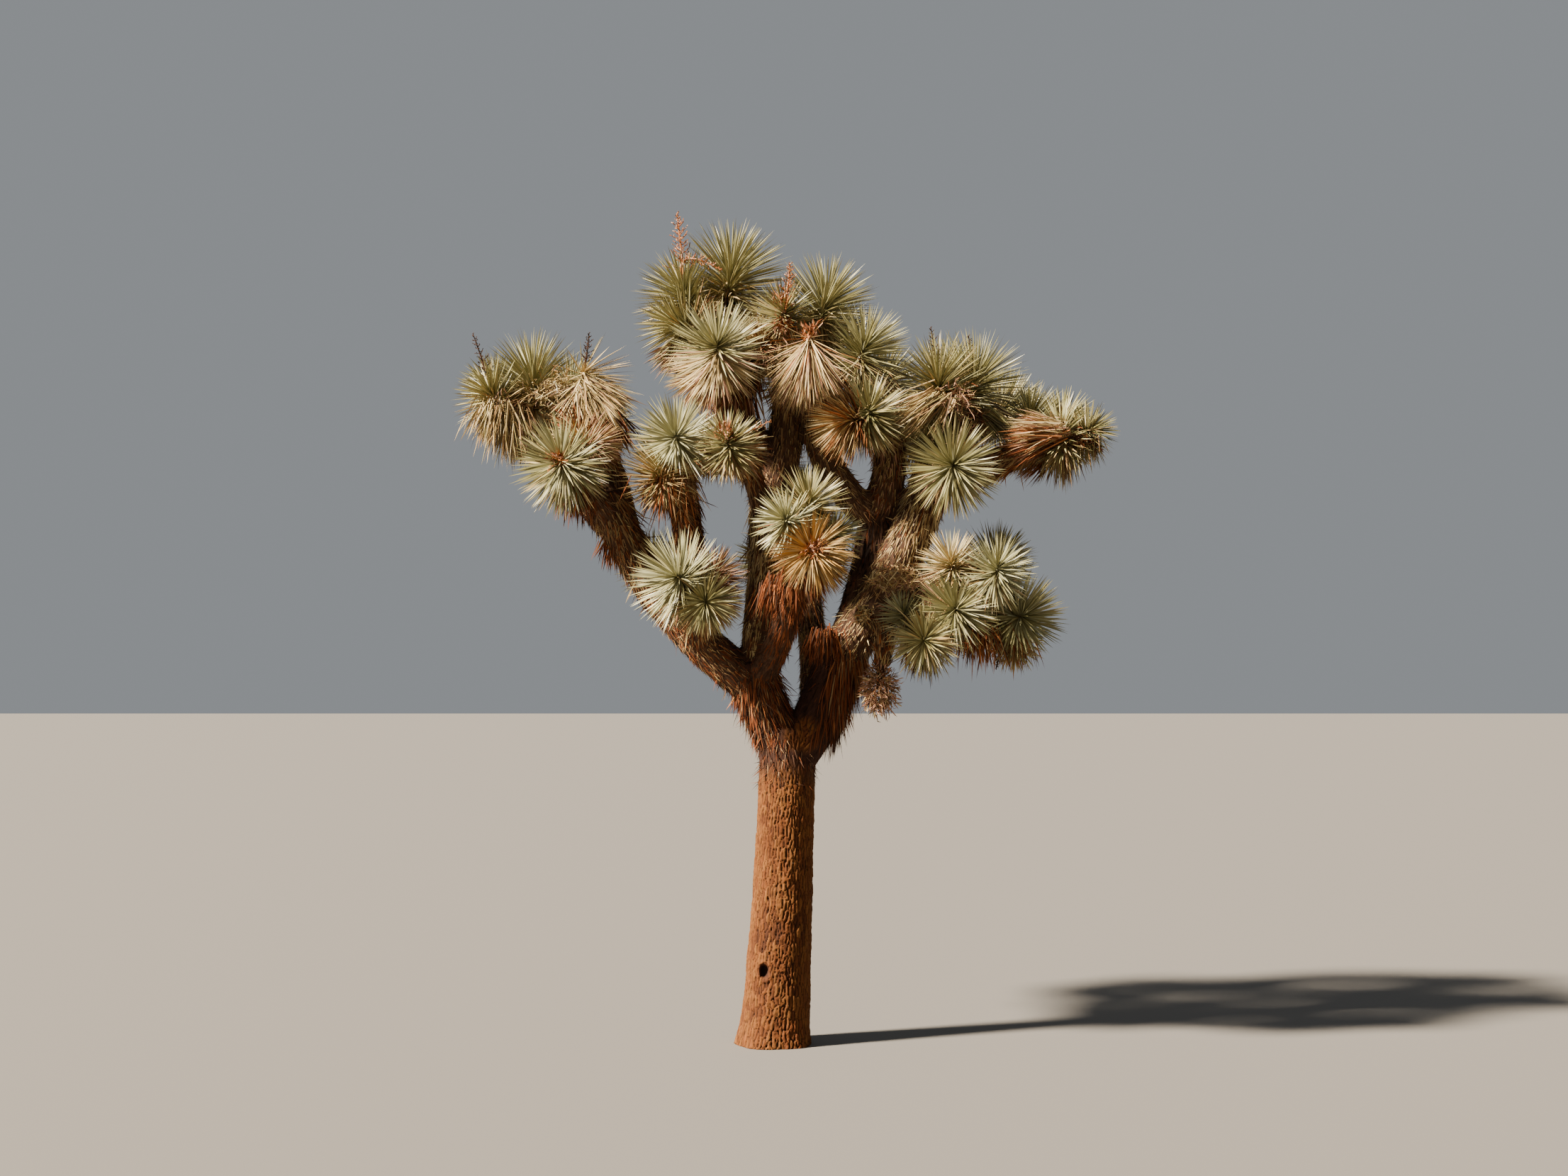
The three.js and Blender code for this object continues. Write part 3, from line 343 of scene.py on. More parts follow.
# What leaves are dealt: stages from the youngest to the oldest, each of weights and tints.
PALETTES = {
    "green": "5 sage 2 leaf 3 silver, 5 sage 4 leaf 1 olive, 1 leaf 2 olive 4 straw 3 cream",
    "silver": "6 silver 3 sage, 5 silver 4 sage, 3 sage 3 cream 2 straw",
    "olive": "4 sage 3 leaf 2 olive, 3 olive 2 leaf 3 sage 1 straw, 1 olive 4 straw 2 cream 2 tan",
    "split": "5 sage 2 leaf 2 silver, 2 sage 4 cream 2 straw 1 pink, 4 cream 2 pink 2 straw",
    "fading": "4 olive 3 sage 2 straw, 3 olive 4 straw 2 tan, 3 tan 3 straw 1 rust",
    "cream": "3 cream 4 straw 2 pink 1 orange, 2 cream 4 straw 2 pink 2 tan, 3 straw 3 tan 2 pink 1 rust",
    "bleached": "5 straw 3 cream 2 olive, 4 straw 2 cream 2 olive 2 ash, 3 straw 3 tan 1 rust 2 ash",
    "rosy": "4 pink 3 cream 2 straw, 3 pink 2 cream 2 gold 2 tan, 3 gold 2 rust 2 tan",
    "yellow": "4 cream 2 straw 3 sage, 3 cream 3 straw 2 silver 1 olive, 3 straw 3 tan 1 gold",
    "pink": "4 pink 3 cream 1 tan, 4 pink 2 tan 1 rust, 3 tan 2 rust 2 pink",
    "orange": "1 orange 4 straw 2 cream, 2 orange 3 straw 3 tan, 3 orange 3 rust 2 tan",
    "gold": "4 gold 4 straw, 4 gold 3 straw 1 tan, 2 gold 2 rust 2 orange",
    "tangle": "3 straw 3 tan 1 cream, 3 tan 2 straw 2 rust, 2 tan 3 rust 1 umber",
    "clump": "5 pink 2 cream 2 tan, 5 pink 3 tan 1 rust, 3 tan 1 rust 2 pink",
    "remains": "4 orange 3 pink 2 rust",
    "skirt": "3 cream 4 straw 2 olive 1 tan, 2 straw 4 tan 2 pink 1 rust, 4 rust 3 tan 2 orange 2 umber",
    "coat_tan": "3 straw 5 tan 1 ash 1 rust, 1 straw 6 tan 2 ash 1 rust, 5 tan 3 ash 1 umber 1 rust",
    # Pale straw coat: painted sunlight for limbs that lie in shade.
    "coat_painted_sunlight": "1 bleach 3 cream 4 straw 1 rust, 3 cream 4 straw 2 tan 1 rust, "
                  "1 cream 4 straw 3 tan 2 rust",
    # Striped coat, lightened as painted sunlight.
    "coat_striped_painted_light": "3 straw 3 pink 2 rust, 3 straw 2 pink 3 tan 3 rust, 3 tan 3 rust 1 umber",
    "thatch_curl": "2 cream 4 tan 4 straw 2 pink 1 rust",
    "coat_brown": "1 straw 3 tan 2 ash 2 rust, 2 tan 3 ash 2 rust 2 umber, 2 ash 3 rust 3 umber",
    "coat_dark": "3 straw 4 tan 2 orange 2 rust, 1 straw 4 tan 1 orange 4 rust, 3 umber 3 rust 2 tan",
    # Umber and near black: painted shade, not the thatch's own colour.
    "coat_black": "3 umber 3 soot 1 rust, 4 umber 5 soot",
    "coat_pale": "3 straw 4 tan 2 pink",
    "coat_rust": "2 orange 2 tan 3 rust, 5 rust 1 orange 2 umber 1 tan, 4 rust 4 umber",
    "coat_umber": "5 rust 1 orange 2 umber, 4 rust 4 umber, 5 umber 2 rust",
    "coat_orange": "3 orange 3 straw 2 tan, 2 orange 3 tan 2 rust 1 straw",
    "coat_pink": "3 pink 4 tan 1 ash, 4 tan 1 pink 3 ash 1 rust 1 umber",
    # Mostly umber: the fork's own dark fibres, darkened further as painted shade of the crown.
    "fibre": "3 rust 1 tan 2 ash 3 umber, 2 rust 6 umber",
    "stalk": "3 pink 3 orange 2 rust",
    "old_stalk": "3 umber 1 soot",
    "pale_stub": "4 straw 2 cream 1 orange",
    "umber_tangle": "3 umber 2 rust 1 tan",
    "beard": "3 orange 3 rust 2 tan 1 umber",
    "rust_beard": "5 rust 3 umber 1 orange",
    "orange_beard": "4 orange 2 pink 2 straw",
    "peach_beard": "4 cream 3 pink 2 straw",
    "pale_beard": "2 cream 4 straw 2 tan 2 olive 1 ash",
    "mauve_beard": "2 ash 2 tan 2 olive 1 pink",
    "brown_beard": "4 rust 3 tan 2 pink 2 umber",
    "olive_beard": "3 olive 1 leaf 2 ash 2 tan",
    "leafy_beard": "4 leaf 3 olive 1 umber",
}
DEAD_PALETTES = ("cream", "bleached", "rosy", "pink", "orange", "gold", "tangle", "clump", "yellow")

# Loose clumps of curled old leaves in front of some heads, in millimetres: at, reach, palette.
CLUMPS = {
    "left": [((-1335, 20, 3740), 125, "pale_beard"), ((-1245, -10, 3790), 110, "pale_beard"),
             ((-1560, -60, 3640), 100, "mauve_beard")],
    "top": [((60, -140, 4115), 80, "remains"), ((-130, -60, 4080), 120, "pale_beard"),
            ((-30, -90, 3960), 110, "brown_beard")],
    "right": [((1035, -210, 3670), 125, "clump"), ((1160, -120, 3560), 90, "umber_tangle"),
              ((1105, -160, 3500), 80, "clump"), ((1745, -160, 3455), 70, "umber_tangle"),
              ((1830, -120, 3430), 60, "umber_tangle"), ((504, -335, 2450), 62, "pale_stub"),
              ((632, -320, 2650), 112, "thatch_curl"), ((735, -360, 2645), 115, "thatch_curl")],
    "centre": [((250, -800, 2800), 60, "remains")],
}

# Beards of old leaves, hanging or swept, in millimetres: at, way, spread, lengths, leaves, palette.
DOWN = (0, 0, -1)
BEARDS = {
    "right": [
        ((1150, -330, 2370), DOWN, 120, (130, 230), 240, "beard"),
        ((840, -380, 2290), DOWN, 90, (120, 210), 170, "umber_tangle"),
        ((1370, -210, 2330), DOWN, 90, (110, 200), 150, "beard"),
        ((1640, -190, 3530), (-0.95, -0.05, -0.05), 55, (190, 300), 170, "peach_beard"),
        ((1630, -180, 3490), (-0.95, -0.05, -0.15), 55, (190, 300), 190, "orange_beard"),
        ((1590, -140, 3450), (-0.95, 0, -0.25), 60, (170, 280), 170, "rust_beard"),
        ((1680, -80, 3450), DOWN, 60, (170, 290), 150, "olive_beard"),
        ((1815, -90, 3480), (0.1, -0.1, -1), 50, (110, 190), 90, "olive_beard"),
        ((1230, 20, 3640), (0.6, -0.1, -0.7), 80, (150, 240), 130, "leafy_beard"),
        ((930, -250, 3680), (-0.7, -0.3, -0.6), 90, (220, 320), 300, "pale_beard"),
    ],
    "left": [
        ((-590, -290, 3210), DOWN, 110, (130, 240), 260, "beard"),
        ((-1120, -190, 3150), DOWN, 110, (90, 180), 220, "rust_beard"),
        ((-900, -80, 2860), DOWN, 90, (80, 150), 130, "rust_beard"),
        ((-1590, -60, 3660), (-0.1, -0.2, -1), 100, (180, 270), 300, "pale_beard"),
        ((-1490, -40, 3560), (0.1, -0.1, -1), 90, (180, 260), 260, "pale_beard"),
        ((-1060, -50, 3790), (0.75, -0.3, -0.6), 60, (220, 330), 200, "pale_beard"),
        ((-1060, -60, 3740), (0.5, -0.4, -0.9), 70, (220, 320), 220, "pale_beard"),
        ((-960, -60, 3600), (0.4, -0.2, -0.9), 80, (160, 260), 200, "brown_beard"),
    ],
    "top": [
        ((-500, -60, 4010), (-0.75, -0.1, -0.6), 60, (150, 260), 150, "mauve_beard"),
        ((-110, 0, 3890), DOWN, 50, (150, 220), 90, "umber_tangle"),
        ((-270, -120, 3830), DOWN, 120, (150, 260), 340, "brown_beard"),
        ((-190, -60, 3760), DOWN, 80, (150, 240), 160, "brown_beard"),
        ((560, -60, 3790), (0.4, -0.3, -0.9), 90, (150, 240), 160, "mauve_beard"),
    ],
    "centre": [
        ((150, -600, 2710), DOWN, 110, (120, 220), 260, "rust_beard"),
        ((60, -420, 2620), DOWN, 110, (120, 240), 260, "rust_beard"),
        ((300, -125, 2345), DOWN, 75, (120, 210), 260, "rust_beard"),
    ],
}

# Stalks that no head bears: region, foot, middle, tip, kind, and its branches' length, number and girth.
LOOSE_STALKS = [
    ("right", (1290, -200, 2330), (1290, -207.5, 2235), (1262, -215, 2140), "old_stalk", 0.022, 22),
    ("right", (1085, -230, 2360), (1094, -240, 2280), (1075, -250, 2200), "old_stalk", 0.022, 22),
    ("top", (-515, 80, 4350), (-620, -30, 4640), (-300, -60, 4450), "stalk", 0.06, 30),
    ("left", (-225, -480, 3420), (-120, -470, 3470), (-10, -440, 3530), "stalk", 0.045, 14, 0.6),
]
STALK_RADII = (0.011, 0.003)  # at its foot and tip
STALK_JOINTS = 12
STALK_BOW = (12, -30, 0)
BRANCH_SPAN = (0.34, 0.99)
BRANCH_RADII = (0.0036, 0.0018)
BRANCH_TWIG_RADII = (0.0024, 0.0030)
BRANCH_TWIGS = ((0.45, 1.0), (0.7, -1.0), (0.95, 0.6))  # place on the branch, and which way it turns

# Wood
TRUNK_NODES = ("trunk", "bough_left", "bough_right")
STUB_AT = (498, -128, 2455)  # the pale broken end of a lost limb
STUB_END = (506, -290, 2457)
STUB_RADIUS = 52
TRUNK_BARK = {
    "plates": [
        (0.045, 0.0138, 0.0040), (0.118, 0.0365, 0.0070), (0.158, 0.061, 0.0128), (0.128, 0.0275, 0.0058)],
    # The fibre at the trunk's top: its own dark red-brown, darkened further as painted shade of the crown.
    "shaggy": (0.036, 0.014, 0.008),
    "crack": (0.018, 0.006, 0.003),
    "grain_scale": 55,
}
LIMB_BARK = {
    "plates": [(0.06, 0.03, 0.018), (0.12, 0.07, 0.04), (0.16, 0.10, 0.06), (0.09, 0.055, 0.036)],
    "shaggy": (0.075, 0.038, 0.020),
    "crack": (0.012, 0.006, 0.004),
    "grain_scale": 45,
}
# Places and colours of the ramp by which the grain darkens and lightens the bark
FLECKS = [(0.3, (0.45, 0.4, 0.38)), (0.68, (1.15, 1.1, 1.05))]
GRAIN_STRETCH = 0.35  # how fine the bark's grain is up the tree, as a share of across it
FIBRE_SCALES = (9 / 0.35, 75, 75)  # along the limb, and the two ways across it
CRACK_WIDTHS = (0.06, 0.36)  # from the middle of a crack to its edge, as shares of a plate's width
STOREY = 10  # keeps the limbs apart where their bark is laid out for telling plates apart

# Coats on the fork: limb, span, leaves, lift, palette, length, width, hang, profile, side left bare.
FORK_COATS = [
    ("trunk", (0.84, 1.0), 1500, (3, 8), "fibre", (0.05, 0.11), 0.007, (0.0, 0.1)),
    ("bough_left", (0.1, 1.0), 2600, (4, 12), "fibre", (0.06, 0.14), 0.0075, (0.05, 0.35)),
    ("bough_left", (0.25, 1.0), 800, (12, 32), "coat_rust", (0.09, 0.18), 0.0072, (0.5, 1.3), LEAF_PROFILE),
    # The near-black coat on the right bough's left face is painted shade.
    ("bough_right", (0.3, 1.0), 1500, (3, 8), "coat_black", (0.05, 0.11), 0.0075, (0.05, 0.2)),
    ("bough_right", (0.35, 1.0), 2600, (8, 22), "coat_rust", (0.13, 0.27), 0.0075, (0.7, 1.6), LEAF_PROFILE,
     (-0.8, -0.3, 0.5)),
]

# Studio
CAMERA_AT = (0.061, -12.57, 2.045)
CAMERA_TILT = math.radians(90 + 2.58)
LENS = 50
SENSOR_WIDTH = 36
FAR_CLIP = 500
FLOOR_HALF = 150
FLOOR_COLOUR = (0.115, 0.105, 0.092)
SKY_COLOUR = (0.68, 0.72, 0.76)
SKY_STRENGTH = 0.38
SUN_ENERGY = 27.5
SUN_ANGLE = math.radians(6)
SUN_COLOUR = (1.0, 0.89, 0.74)
SUN_TURN = (math.radians(48), 0, math.radians(-65))


def lerp(low, high, share):
    return low + (high - low) * share


def unit(vectors):
    vectors = np.asarray(vectors, float)
    return vectors / np.maximum(np.linalg.norm(vectors, axis=-1, keepdims=True), 1e-9)


def smoothstep(low, high, value):
    share = np.clip((value - low) / (high - low), 0, 1)
    return share * share * (3 - 2 * share)


def scatter(spread, count):
    return rng.normal(0, spread, (count, 3))


class Path:
    """A bent line through two, one or no middle controls, read by the share of its length."""

    def __init__(self, controls):
        controls = np.asarray(controls, float) * MM
        place = np.linspace(0, 1, 97)[:, None]
        while len(controls) > 1:
            controls = [lerp(a, b, place) for a, b in zip(controls[:-1], controls[1:])]
        self.points = controls[0]
        steps = np.linalg.norm(np.diff(self.points, axis=0), axis=1)
        self.length = steps.sum()
        self.shares = np.concatenate([[0], np.cumsum(steps)]) / self.length
        chord = np.abs(self.points[-1] - self.points[0])
        self.reference = np.eye(3)[np.argmin(chord)]

    def at(self, share):
        return np.stack([np.interp(share, self.shares, self.points[:, k]) for k in range(3)], axis=-1)

    def tangent(self, share):
        return unit(self.at(np.minimum(share + 0.02, 1)) - self.at(np.maximum(share - 0.02, 0)))

    def across(self, share):
        """Two directions at right angles to the line and to each other."""
        tangent = self.tangent(share)
        side = unit(np.cross(tangent, self.reference))
        return side, np.cross(side, tangent)

    def outward(self, share, angle):
        side, other = self.across(share)
        return np.cos(angle)[..., None] * side + np.sin(angle)[..., None] * other


class Limb:
    """A stretch of wood: its line, and the radii of its solid and its bark for a share and an angle."""

    bark_share = BARK_SHARE

    def __init__(self, name, path, radii):
        self.name = name
        self.path = path
        self.radii = np.array(radii, float) * MM

    def radius(self, share, angle=0.0):
        return lerp(*self.radii, share)

    def bark_radius(self, share, angle=0.0):
        return self.radius(share, angle) * lerp(*self.bark_share, share)


class Trunk(Limb):
    bark_share = (1, 1)

    def radius(self, share, angle=0.0):
        height = np.maximum(0, lerp(-TRUNK_DEPTH, TRUNK_TOP[2], share))
        lobe = 1 + FLARE_LOBE_DEPTH * np.cos(FLARE_LOBES * angle - FLARE_TURN)
        flare = FLARE * lobe * np.exp(-height / FLARE_HEIGHT)
        swelling = FORK_SWELLING * np.exp((height - TRUNK_TOP[2]) / FORK_SWELLING_LENGTH)
        return (TRUNK_RADIUS - TRUNK_NARROWING * share + flare + swelling) * MM


class Fork(Limb):
    """One of the two boughs of the first fork, whose bark shows."""

    bark_share = (0.97, 0.88)


class Twig(Limb):
    """Bears a head, and ends at its middle."""

    bark_share = (TWIG_SHARE, TWIG_SHARE)


def bowed(foot, tip, bow):
    foot, tip, bow = (np.array(v, float) for v in (foot, tip, bow))
    return Path([foot, (foot + tip) / 2 + 2 * bow, tip])


def grow_limbs():
    trunk = bowed((0, 0, -TRUNK_DEPTH), TRUNK_TOP, TRUNK_BOW)
    limbs = {"trunk": Trunk("trunk", trunk, (TRUNK_RADIUS, TRUNK_RADIUS))}
    for name, parent, start, tip, bow, radii in BOUGHS:
        foot = limbs[parent].path.at(start) / MM
        kind = Fork if name in TRUNK_NODES else Limb
        limbs[name] = kind(name, bowed(foot, tip, bow), radii)
    return limbs


class Head:
    """One rosette of leaves, with the twig that bears it."""

    def __init__(self, region, at, looks, reach, palette, extras=None):
        self.region = region
        self.centre = np.array(at, float) * MM
        self.axis = unit(looks)
        self.reach = reach * MM
        self.palette = palette
        self.dead = palette in DEAD_PALETTES
        self.extras = extras or {}
        self.twig = None


def grow_heads(limbs):
    """The heads of every mass, on twigs that leave a leading one as in the solids."""
    heads = []
    for mass, (region, bough, rows) in MASSES.items():
        path = limbs[bough].path
        inside = path.at(TWIG_FOOT)
        tip = path.at(1.0)
        hub = tip + path.tangent(1.0) * STEM_LENGTH * MM
        leading = None
        for number, row in enumerate(rows):
            head = Head(region, *row)
            back = head.centre - head.axis * TWIG_LEAD * np.linalg.norm(head.centre - hub)
            start = inside if leading is None else leading.at(SIDE_TWIG_PLACE + SIDE_TWIG_STEP * number)
            through = tip if leading is None else hub
            twig = Path(np.array([start, through, back, head.centre]) / MM)
            leading = leading or twig
            head.twig = Twig(mass, twig, TWIG_RADIUS)
            heads.append(head)
    return heads


class Sheaf:
    """Collects corners, faces and tints of many small closed shapes, to join them into one mesh."""

    def __init__(self):
        self.corners = []
        self.faces = []
        self.tints = []
        self.count = 0

    def add(self, corners, faces, tints):
        """corners is (n, k, 3): n shapes of k corners; faces is one shape's; tints has one for each."""
        n, k, _ = corners.shape
        starts = self.count + k * np.arange(n)
        self.corners.append(corners.reshape(-1, 3))
        self.faces.append((starts[:, None, None] + faces[None]).reshape(-1, 3))
        self.tints.append(np.repeat(np.broadcast_to(tints, (n,)), len(faces)))
        self.count += n * k


def blade_faces(rings):
    """The triangles of a three-sided blade of that many rings and a tip."""
    faces = [(1, 2, 0)]
    for ring in range(rings):
        low, high = 3 * ring, 3 * ring + 3
        for a, b in ((1, 0), (0, 2), (2, 1)):
            if ring == rings - 1:
                faces.append((low + a, low + b, high))
            else:
                faces.append((low + a, low + b, high + b))
                faces.append((low + a, high + b, high + a))
    return np.array(faces)


def add_blades(sheaf, root, chord, bend, face, width, tints, profile=LEAF_PROFILE):
    """Closed pointed blades from root along chord. bend moves the line aside, face is its flat side."""
    length = np.linalg.norm(chord, axis=-1, keepdims=True)
    straight = chord / length - bend
    corners = []
    for place, share in profile:
        centre = root + length * (straight * place + bend * place**2)
        tangent = unit(straight + 2 * place * bend)
        side = unit(np.cross(tangent, face))
        flat = np.cross(side, tangent)
        half = (width * share)[:, None]
        corners += [centre + side * half, centre - side * half, centre - flat * half * 2 * LEAF_THICKNESS]
    corners.append(root + chord)
    sheaf.add(np.stack(corners, axis=1), blade_faces(len(profile)), tints)


def add_curled(sheaf, root, chord, curl, widths, palette):
    """Blades that curl and face every way."""
    count = len(root)
    bend = scatter(curl, count)
    face = unit(scatter(1, count))
    width = rng.uniform(*widths, count)
    add_blades(sheaf, root, chord, bend, face, width, dealt(palette, rng.random(count)))


def dealt(palette, age):
    """A tint for each leaf, by the palette's weights for its age from 0, young, to 1, old."""
    stages = PALETTES[palette].split(", ")
    age = np.clip(age, 0, 0.999) * (len(stages) - 1)
    drawn_stage = np.floor(age + rng.random(len(age))).astype(int)
    drawn = rng.random(len(age))
    tints = np.zeros(len(age), int)
    for number, stage in enumerate(stages):
        words = stage.split()
        weights = [int(word) for word in words[::2]]
        numbers = np.array([TINT_NAMES.index(word) for word in words[1::2]])
        here = drawn_stage == number
        tints[here] = numbers[np.searchsorted(np.cumsum(weights) / sum(weights), drawn[here])]
    return tints


def line_pieces(limb, steps, radius_at):
    """The limb's line in short straight pieces, each a row of its start, its end and its radius."""
    shares = np.linspace(0, 1, steps + 1)
    points = limb.path.at(shares)
    radii = np.maximum(radius_at(shares[:-1]), radius_at(shares[1:]))
    return np.hstack([points[:-1], points[1:], radii[:, None]])


def clearance(points, pieces):
    """How far each point is outside the nearest of the pieces of wood."""
    start, end, radius = pieces[:, :3], pieces[:, 3:6], pieces[:, 6]
    along = end - start
    share = ((points[:, None] - start) * along).sum(-1) / np.maximum((along**2).sum(-1), 1e-12)
    nearest = start + along * np.clip(share, 0, 1)[..., None]
    return (np.linalg.norm(points[:, None] - nearest, axis=-1) - radius).min(axis=1)


def clear_reach(head, directions, wanted, heads, wood):
    """How far each leaf can reach before it leaves the head's own space or meets wood."""
    reach = wanted.copy()
    for other in heads:
        apart = other.centre - head.centre
        distance = np.linalg.norm(apart)
        if other is head or distance > 1.1 * (head.reach + other.reach):
            continue
        forward = directions @ (apart / distance)
        border = BORDER_EASE * distance * head.reach / (head.reach + other.reach)
        reach = np.where(forward > 0.05, np.minimum(reach, border / np.maximum(forward, 0.05)), reach)
    middles = (wood[:, :3] + wood[:, 3:6]) / 2
    near = wood[np.linalg.norm(middles - head.centre, axis=1) < head.reach * 1.6]
    if len(near):
        open_so_far = np.ones(len(reach), bool)
        clear = np.full(len(reach), 0.3)
        for share in (0.45, 0.6, 0.75, 0.9, 1.0):
            points = head.centre + directions * (reach * share)[:, None]
            open_so_far &= clearance(points, near) > 0
            clear = np.where(open_so_far, share, clear)
        reach = reach * clear
    return reach


def leaf_directions(head, age, flowered, sweep):
    """Where a head's leaves point: by the golden angle round its axis, the old ones back and down."""
    count = len(age)
    youngest = FLOWERED_ANGLE if flowered else YOUNGEST_ANGLE
    polar = np.arccos(lerp(math.cos(youngest), math.cos(OLDEST_ANGLE), age))
    turn = GOLDEN_ANGLE * np.arange(count) + rng.random() * ANY_TURN
    side = unit(np.cross(head.axis, (0.31, 0.83, 0.47)))
    other = np.cross(head.axis, side)
    round_axis = np.cos(turn)[:, None] * side + np.sin(turn)[:, None] * other
    directions = np.cos(polar)[:, None] * head.axis + np.sin(polar)[:, None] * round_axis
    jitter = DEAD_JITTER if head.dead else ANGLE_JITTER
    if head.palette == "tangle":
        jitter = TANGLE
    directions = unit(directions + scatter(jitter, count) + sweep)
    backward = np.clip((0.5 - directions @ head.axis) / 1.5, 0, 1)
    droop = DEAD_DROOP if head.dead else LIVE_DROOP
    return unit(directions - UP * (droop * backward * rng.uniform(0.5, 1.8, count))[:, None])


def grow_rosette(head, heads, wood, sheaf):
    """A head's leaves, the youngest at the middle, each as long as its neighbours and the wood allow."""
    plenty, narrowing = (DEAD_COUNT_SHARE, DEAD_WIDTH_SHARE) if head.dead else (1, 1)
    size = head.reach / USUAL_REACH
    count = int(HEAD_LEAVES * plenty * size**LEAF_COUNT_POWER)
    age = (np.arange(count) + 0.5) / count
    sweep = np.array(head.extras.get("sweep", (0, 0, 0)), float)
    directions = leaf_directions(head, age, "remains" in head.extras or sweep.any(), sweep)
    forward = directions @ head.axis
    wanted = head.reach * LEAF_STRETCH * lerp(1, CROWN_LEAF_SHARE, np.maximum(0, forward))
    wanted *= 1 - LEAF_VARIATION * rng.random(count)
    reach = clear_reach(head, directions, wanted, heads, wood)
    kept = (reach > SHORTEST_SHARE * wanted) & (forward > BACKMOST)
    root = head.centre + head.axis * (lerp(*ROOT_PLACES, age) * size)[:, None] + directions * ROOT_GAP
    chord = head.centre + directions * reach[:, None] - root
    sag = lerp(*SAG, age) * (2.0 if head.dead else 1.0) * rng.uniform(0.4, 1.5, count)
    bend = -UP * sag[:, None]
    face = unit(head.axis + scatter(FACE_JITTER, count))
    width = narrowing * LEAF_WIDTH * rng.uniform(0.8, 1.15, count) * lerp(0.75, 1.0, np.minimum(age * 4, 1))
    tints = dealt(head.palette, age)
    if head.palette == "split":
        tints = np.where(directions[:, 2] > 0.05, dealt("green", age * 0.5), tints)
    add_blades(sheaf, root[kept], chord[kept], bend[kept], face[kept], width[kept], tints[kept])


def grow_remains(head, sheaf):
    """What a shed flower stalk leaves at the heart of a head: short curled stumps."""
    count = REMAINS_LEAVES
    directions = unit(head.axis + scatter(0.6, count))
    root = head.centre + head.axis * 0.065 + scatter(0.024, count)
    chord = directions * rng.uniform(0.04, 0.09, count)[:, None]
    add_curled(sheaf, root, chord, 0.5, (0.007, 0.013), "remains")


def grow_clump(at, reach, palette, sheaf):
    """A loose ball of curled old leaves."""
    count = CLUMP_LEAVES
    directions = unit(scatter(1, count) + (0, -0.4, -0.3))
    root = np.array(at) * MM + scatter(0.36, count) * reach * MM
    chord = directions * (reach * MM * rng.uniform(0.35, 0.8, count))[:, None]
    add_curled(sheaf, root, chord, 0.45, (0.005, 0.009), palette)


def grow_matted(head, sheaf):
    """A hanging clump of short curled leaves that have matted together."""
    count = MATTED_LEAVES
    outward = unit(scatter(1, count))
    depth = rng.uniform(0.35, 0.92, count)[:, None]
    root = head.centre + outward * (np.array(MATTED_SIZE) * MM) * depth
    chord = unit(outward + scatter(0.6, count) - UP * 0.5) * rng.uniform(0.03, 0.065, count)[:, None]
    add_curled(sheaf, root, chord, 0.4, (0.006, 0.010), head.palette)


def grow_beard(sheaf, at, way, spread, length, count, palette):
    """Old leaves that hang or are swept one way from round a point."""
    offset = scatter(0.5, count) * (spread * MM) * (1, 1, 0.6)
    root = np.array(at) * MM + offset
    directions = unit(unit(way) + offset * 2.5 + scatter(0.15, count))
    chord = directions * rng.uniform(*length, count)[:, None] * MM
    bend = -UP * rng.uniform(-0.05, 0.12, count)[:, None]
    face = unit(scatter(1, count))
    width = SKIRT_WIDTH * rng.uniform(0.55, 0.95, count)
    add_blades(sheaf, root, chord, bend, face, width, dealt(palette, rng.random(count)))


def thatch(sheaf, limb, span, count, lift, palette, length, width, hang, profile=SPIKE_PROFILE, bare=None):
    """Dead leaves along a limb, which lie back along it and hang. lift is how far they stand off."""
    share = rng.uniform(*span, count)
    angle = rng.uniform(0, 2 * math.pi, count)
    outward = limb.path.outward(share, angle)
    if bare is not None:
        kept = outward @ unit(bare) < rng.uniform(-0.1, 0.6, count)
        share, outward = share[kept], outward[kept]
        count = len(share)
    tangent = limb.path.tangent(share)
    through = (share - span[0]) / (span[1] - span[0])
    stand = np.radians(lerp(*lift, through)) * rng.uniform(0.5, 1.5, count)
    stray = rng.random(count) < STRAY_SHARE
    stand = np.where(stray, np.radians(rng.uniform(*STRAY_LIFT, count)), stand)
    turning = np.where(stray, STRAY_JITTER, COAT_JITTER)[:, None]
    root = limb.path.at(share) + outward * (limb.bark_radius(share) * THATCH_DEPTH)[:, None]
    lying = -tangent * np.cos(stand)[:, None] + outward * np.sin(stand)[:, None]
    start = unit(lying + scatter(1, count) * turning)
    fall = -UP - outward * np.minimum(-outward[:, 2], 0)[:, None]
    pull = rng.uniform(*hang, count)[:, None]
    long = (rng.uniform(*length, count) * lerp(0.75, 1.0, through))[:, None]
    chord = unit(start + fall * pull) * long
    bend = fall * pull * 0.35
    face = unit(outward + scatter(FACE_JITTER, count))
    patch = np.array([noise.noise(point * PATCH_SCALE) for point in root])
    age = 1 - through + PATCHINESS * patch
    widths = width * rng.uniform(0.7, 1.25, count)
    tints = dealt(palette, age)
    from_patch = np.linalg.norm(root - np.array(BARE_PATCH_AT) * MM, axis=1)
    kept = from_patch > LEAFLESS_SHARE * BARE_PATCH_REACH * MM
    add_blades(sheaf, root[kept], chord[kept], bend[kept], face[kept], widths[kept], tints[kept], profile)


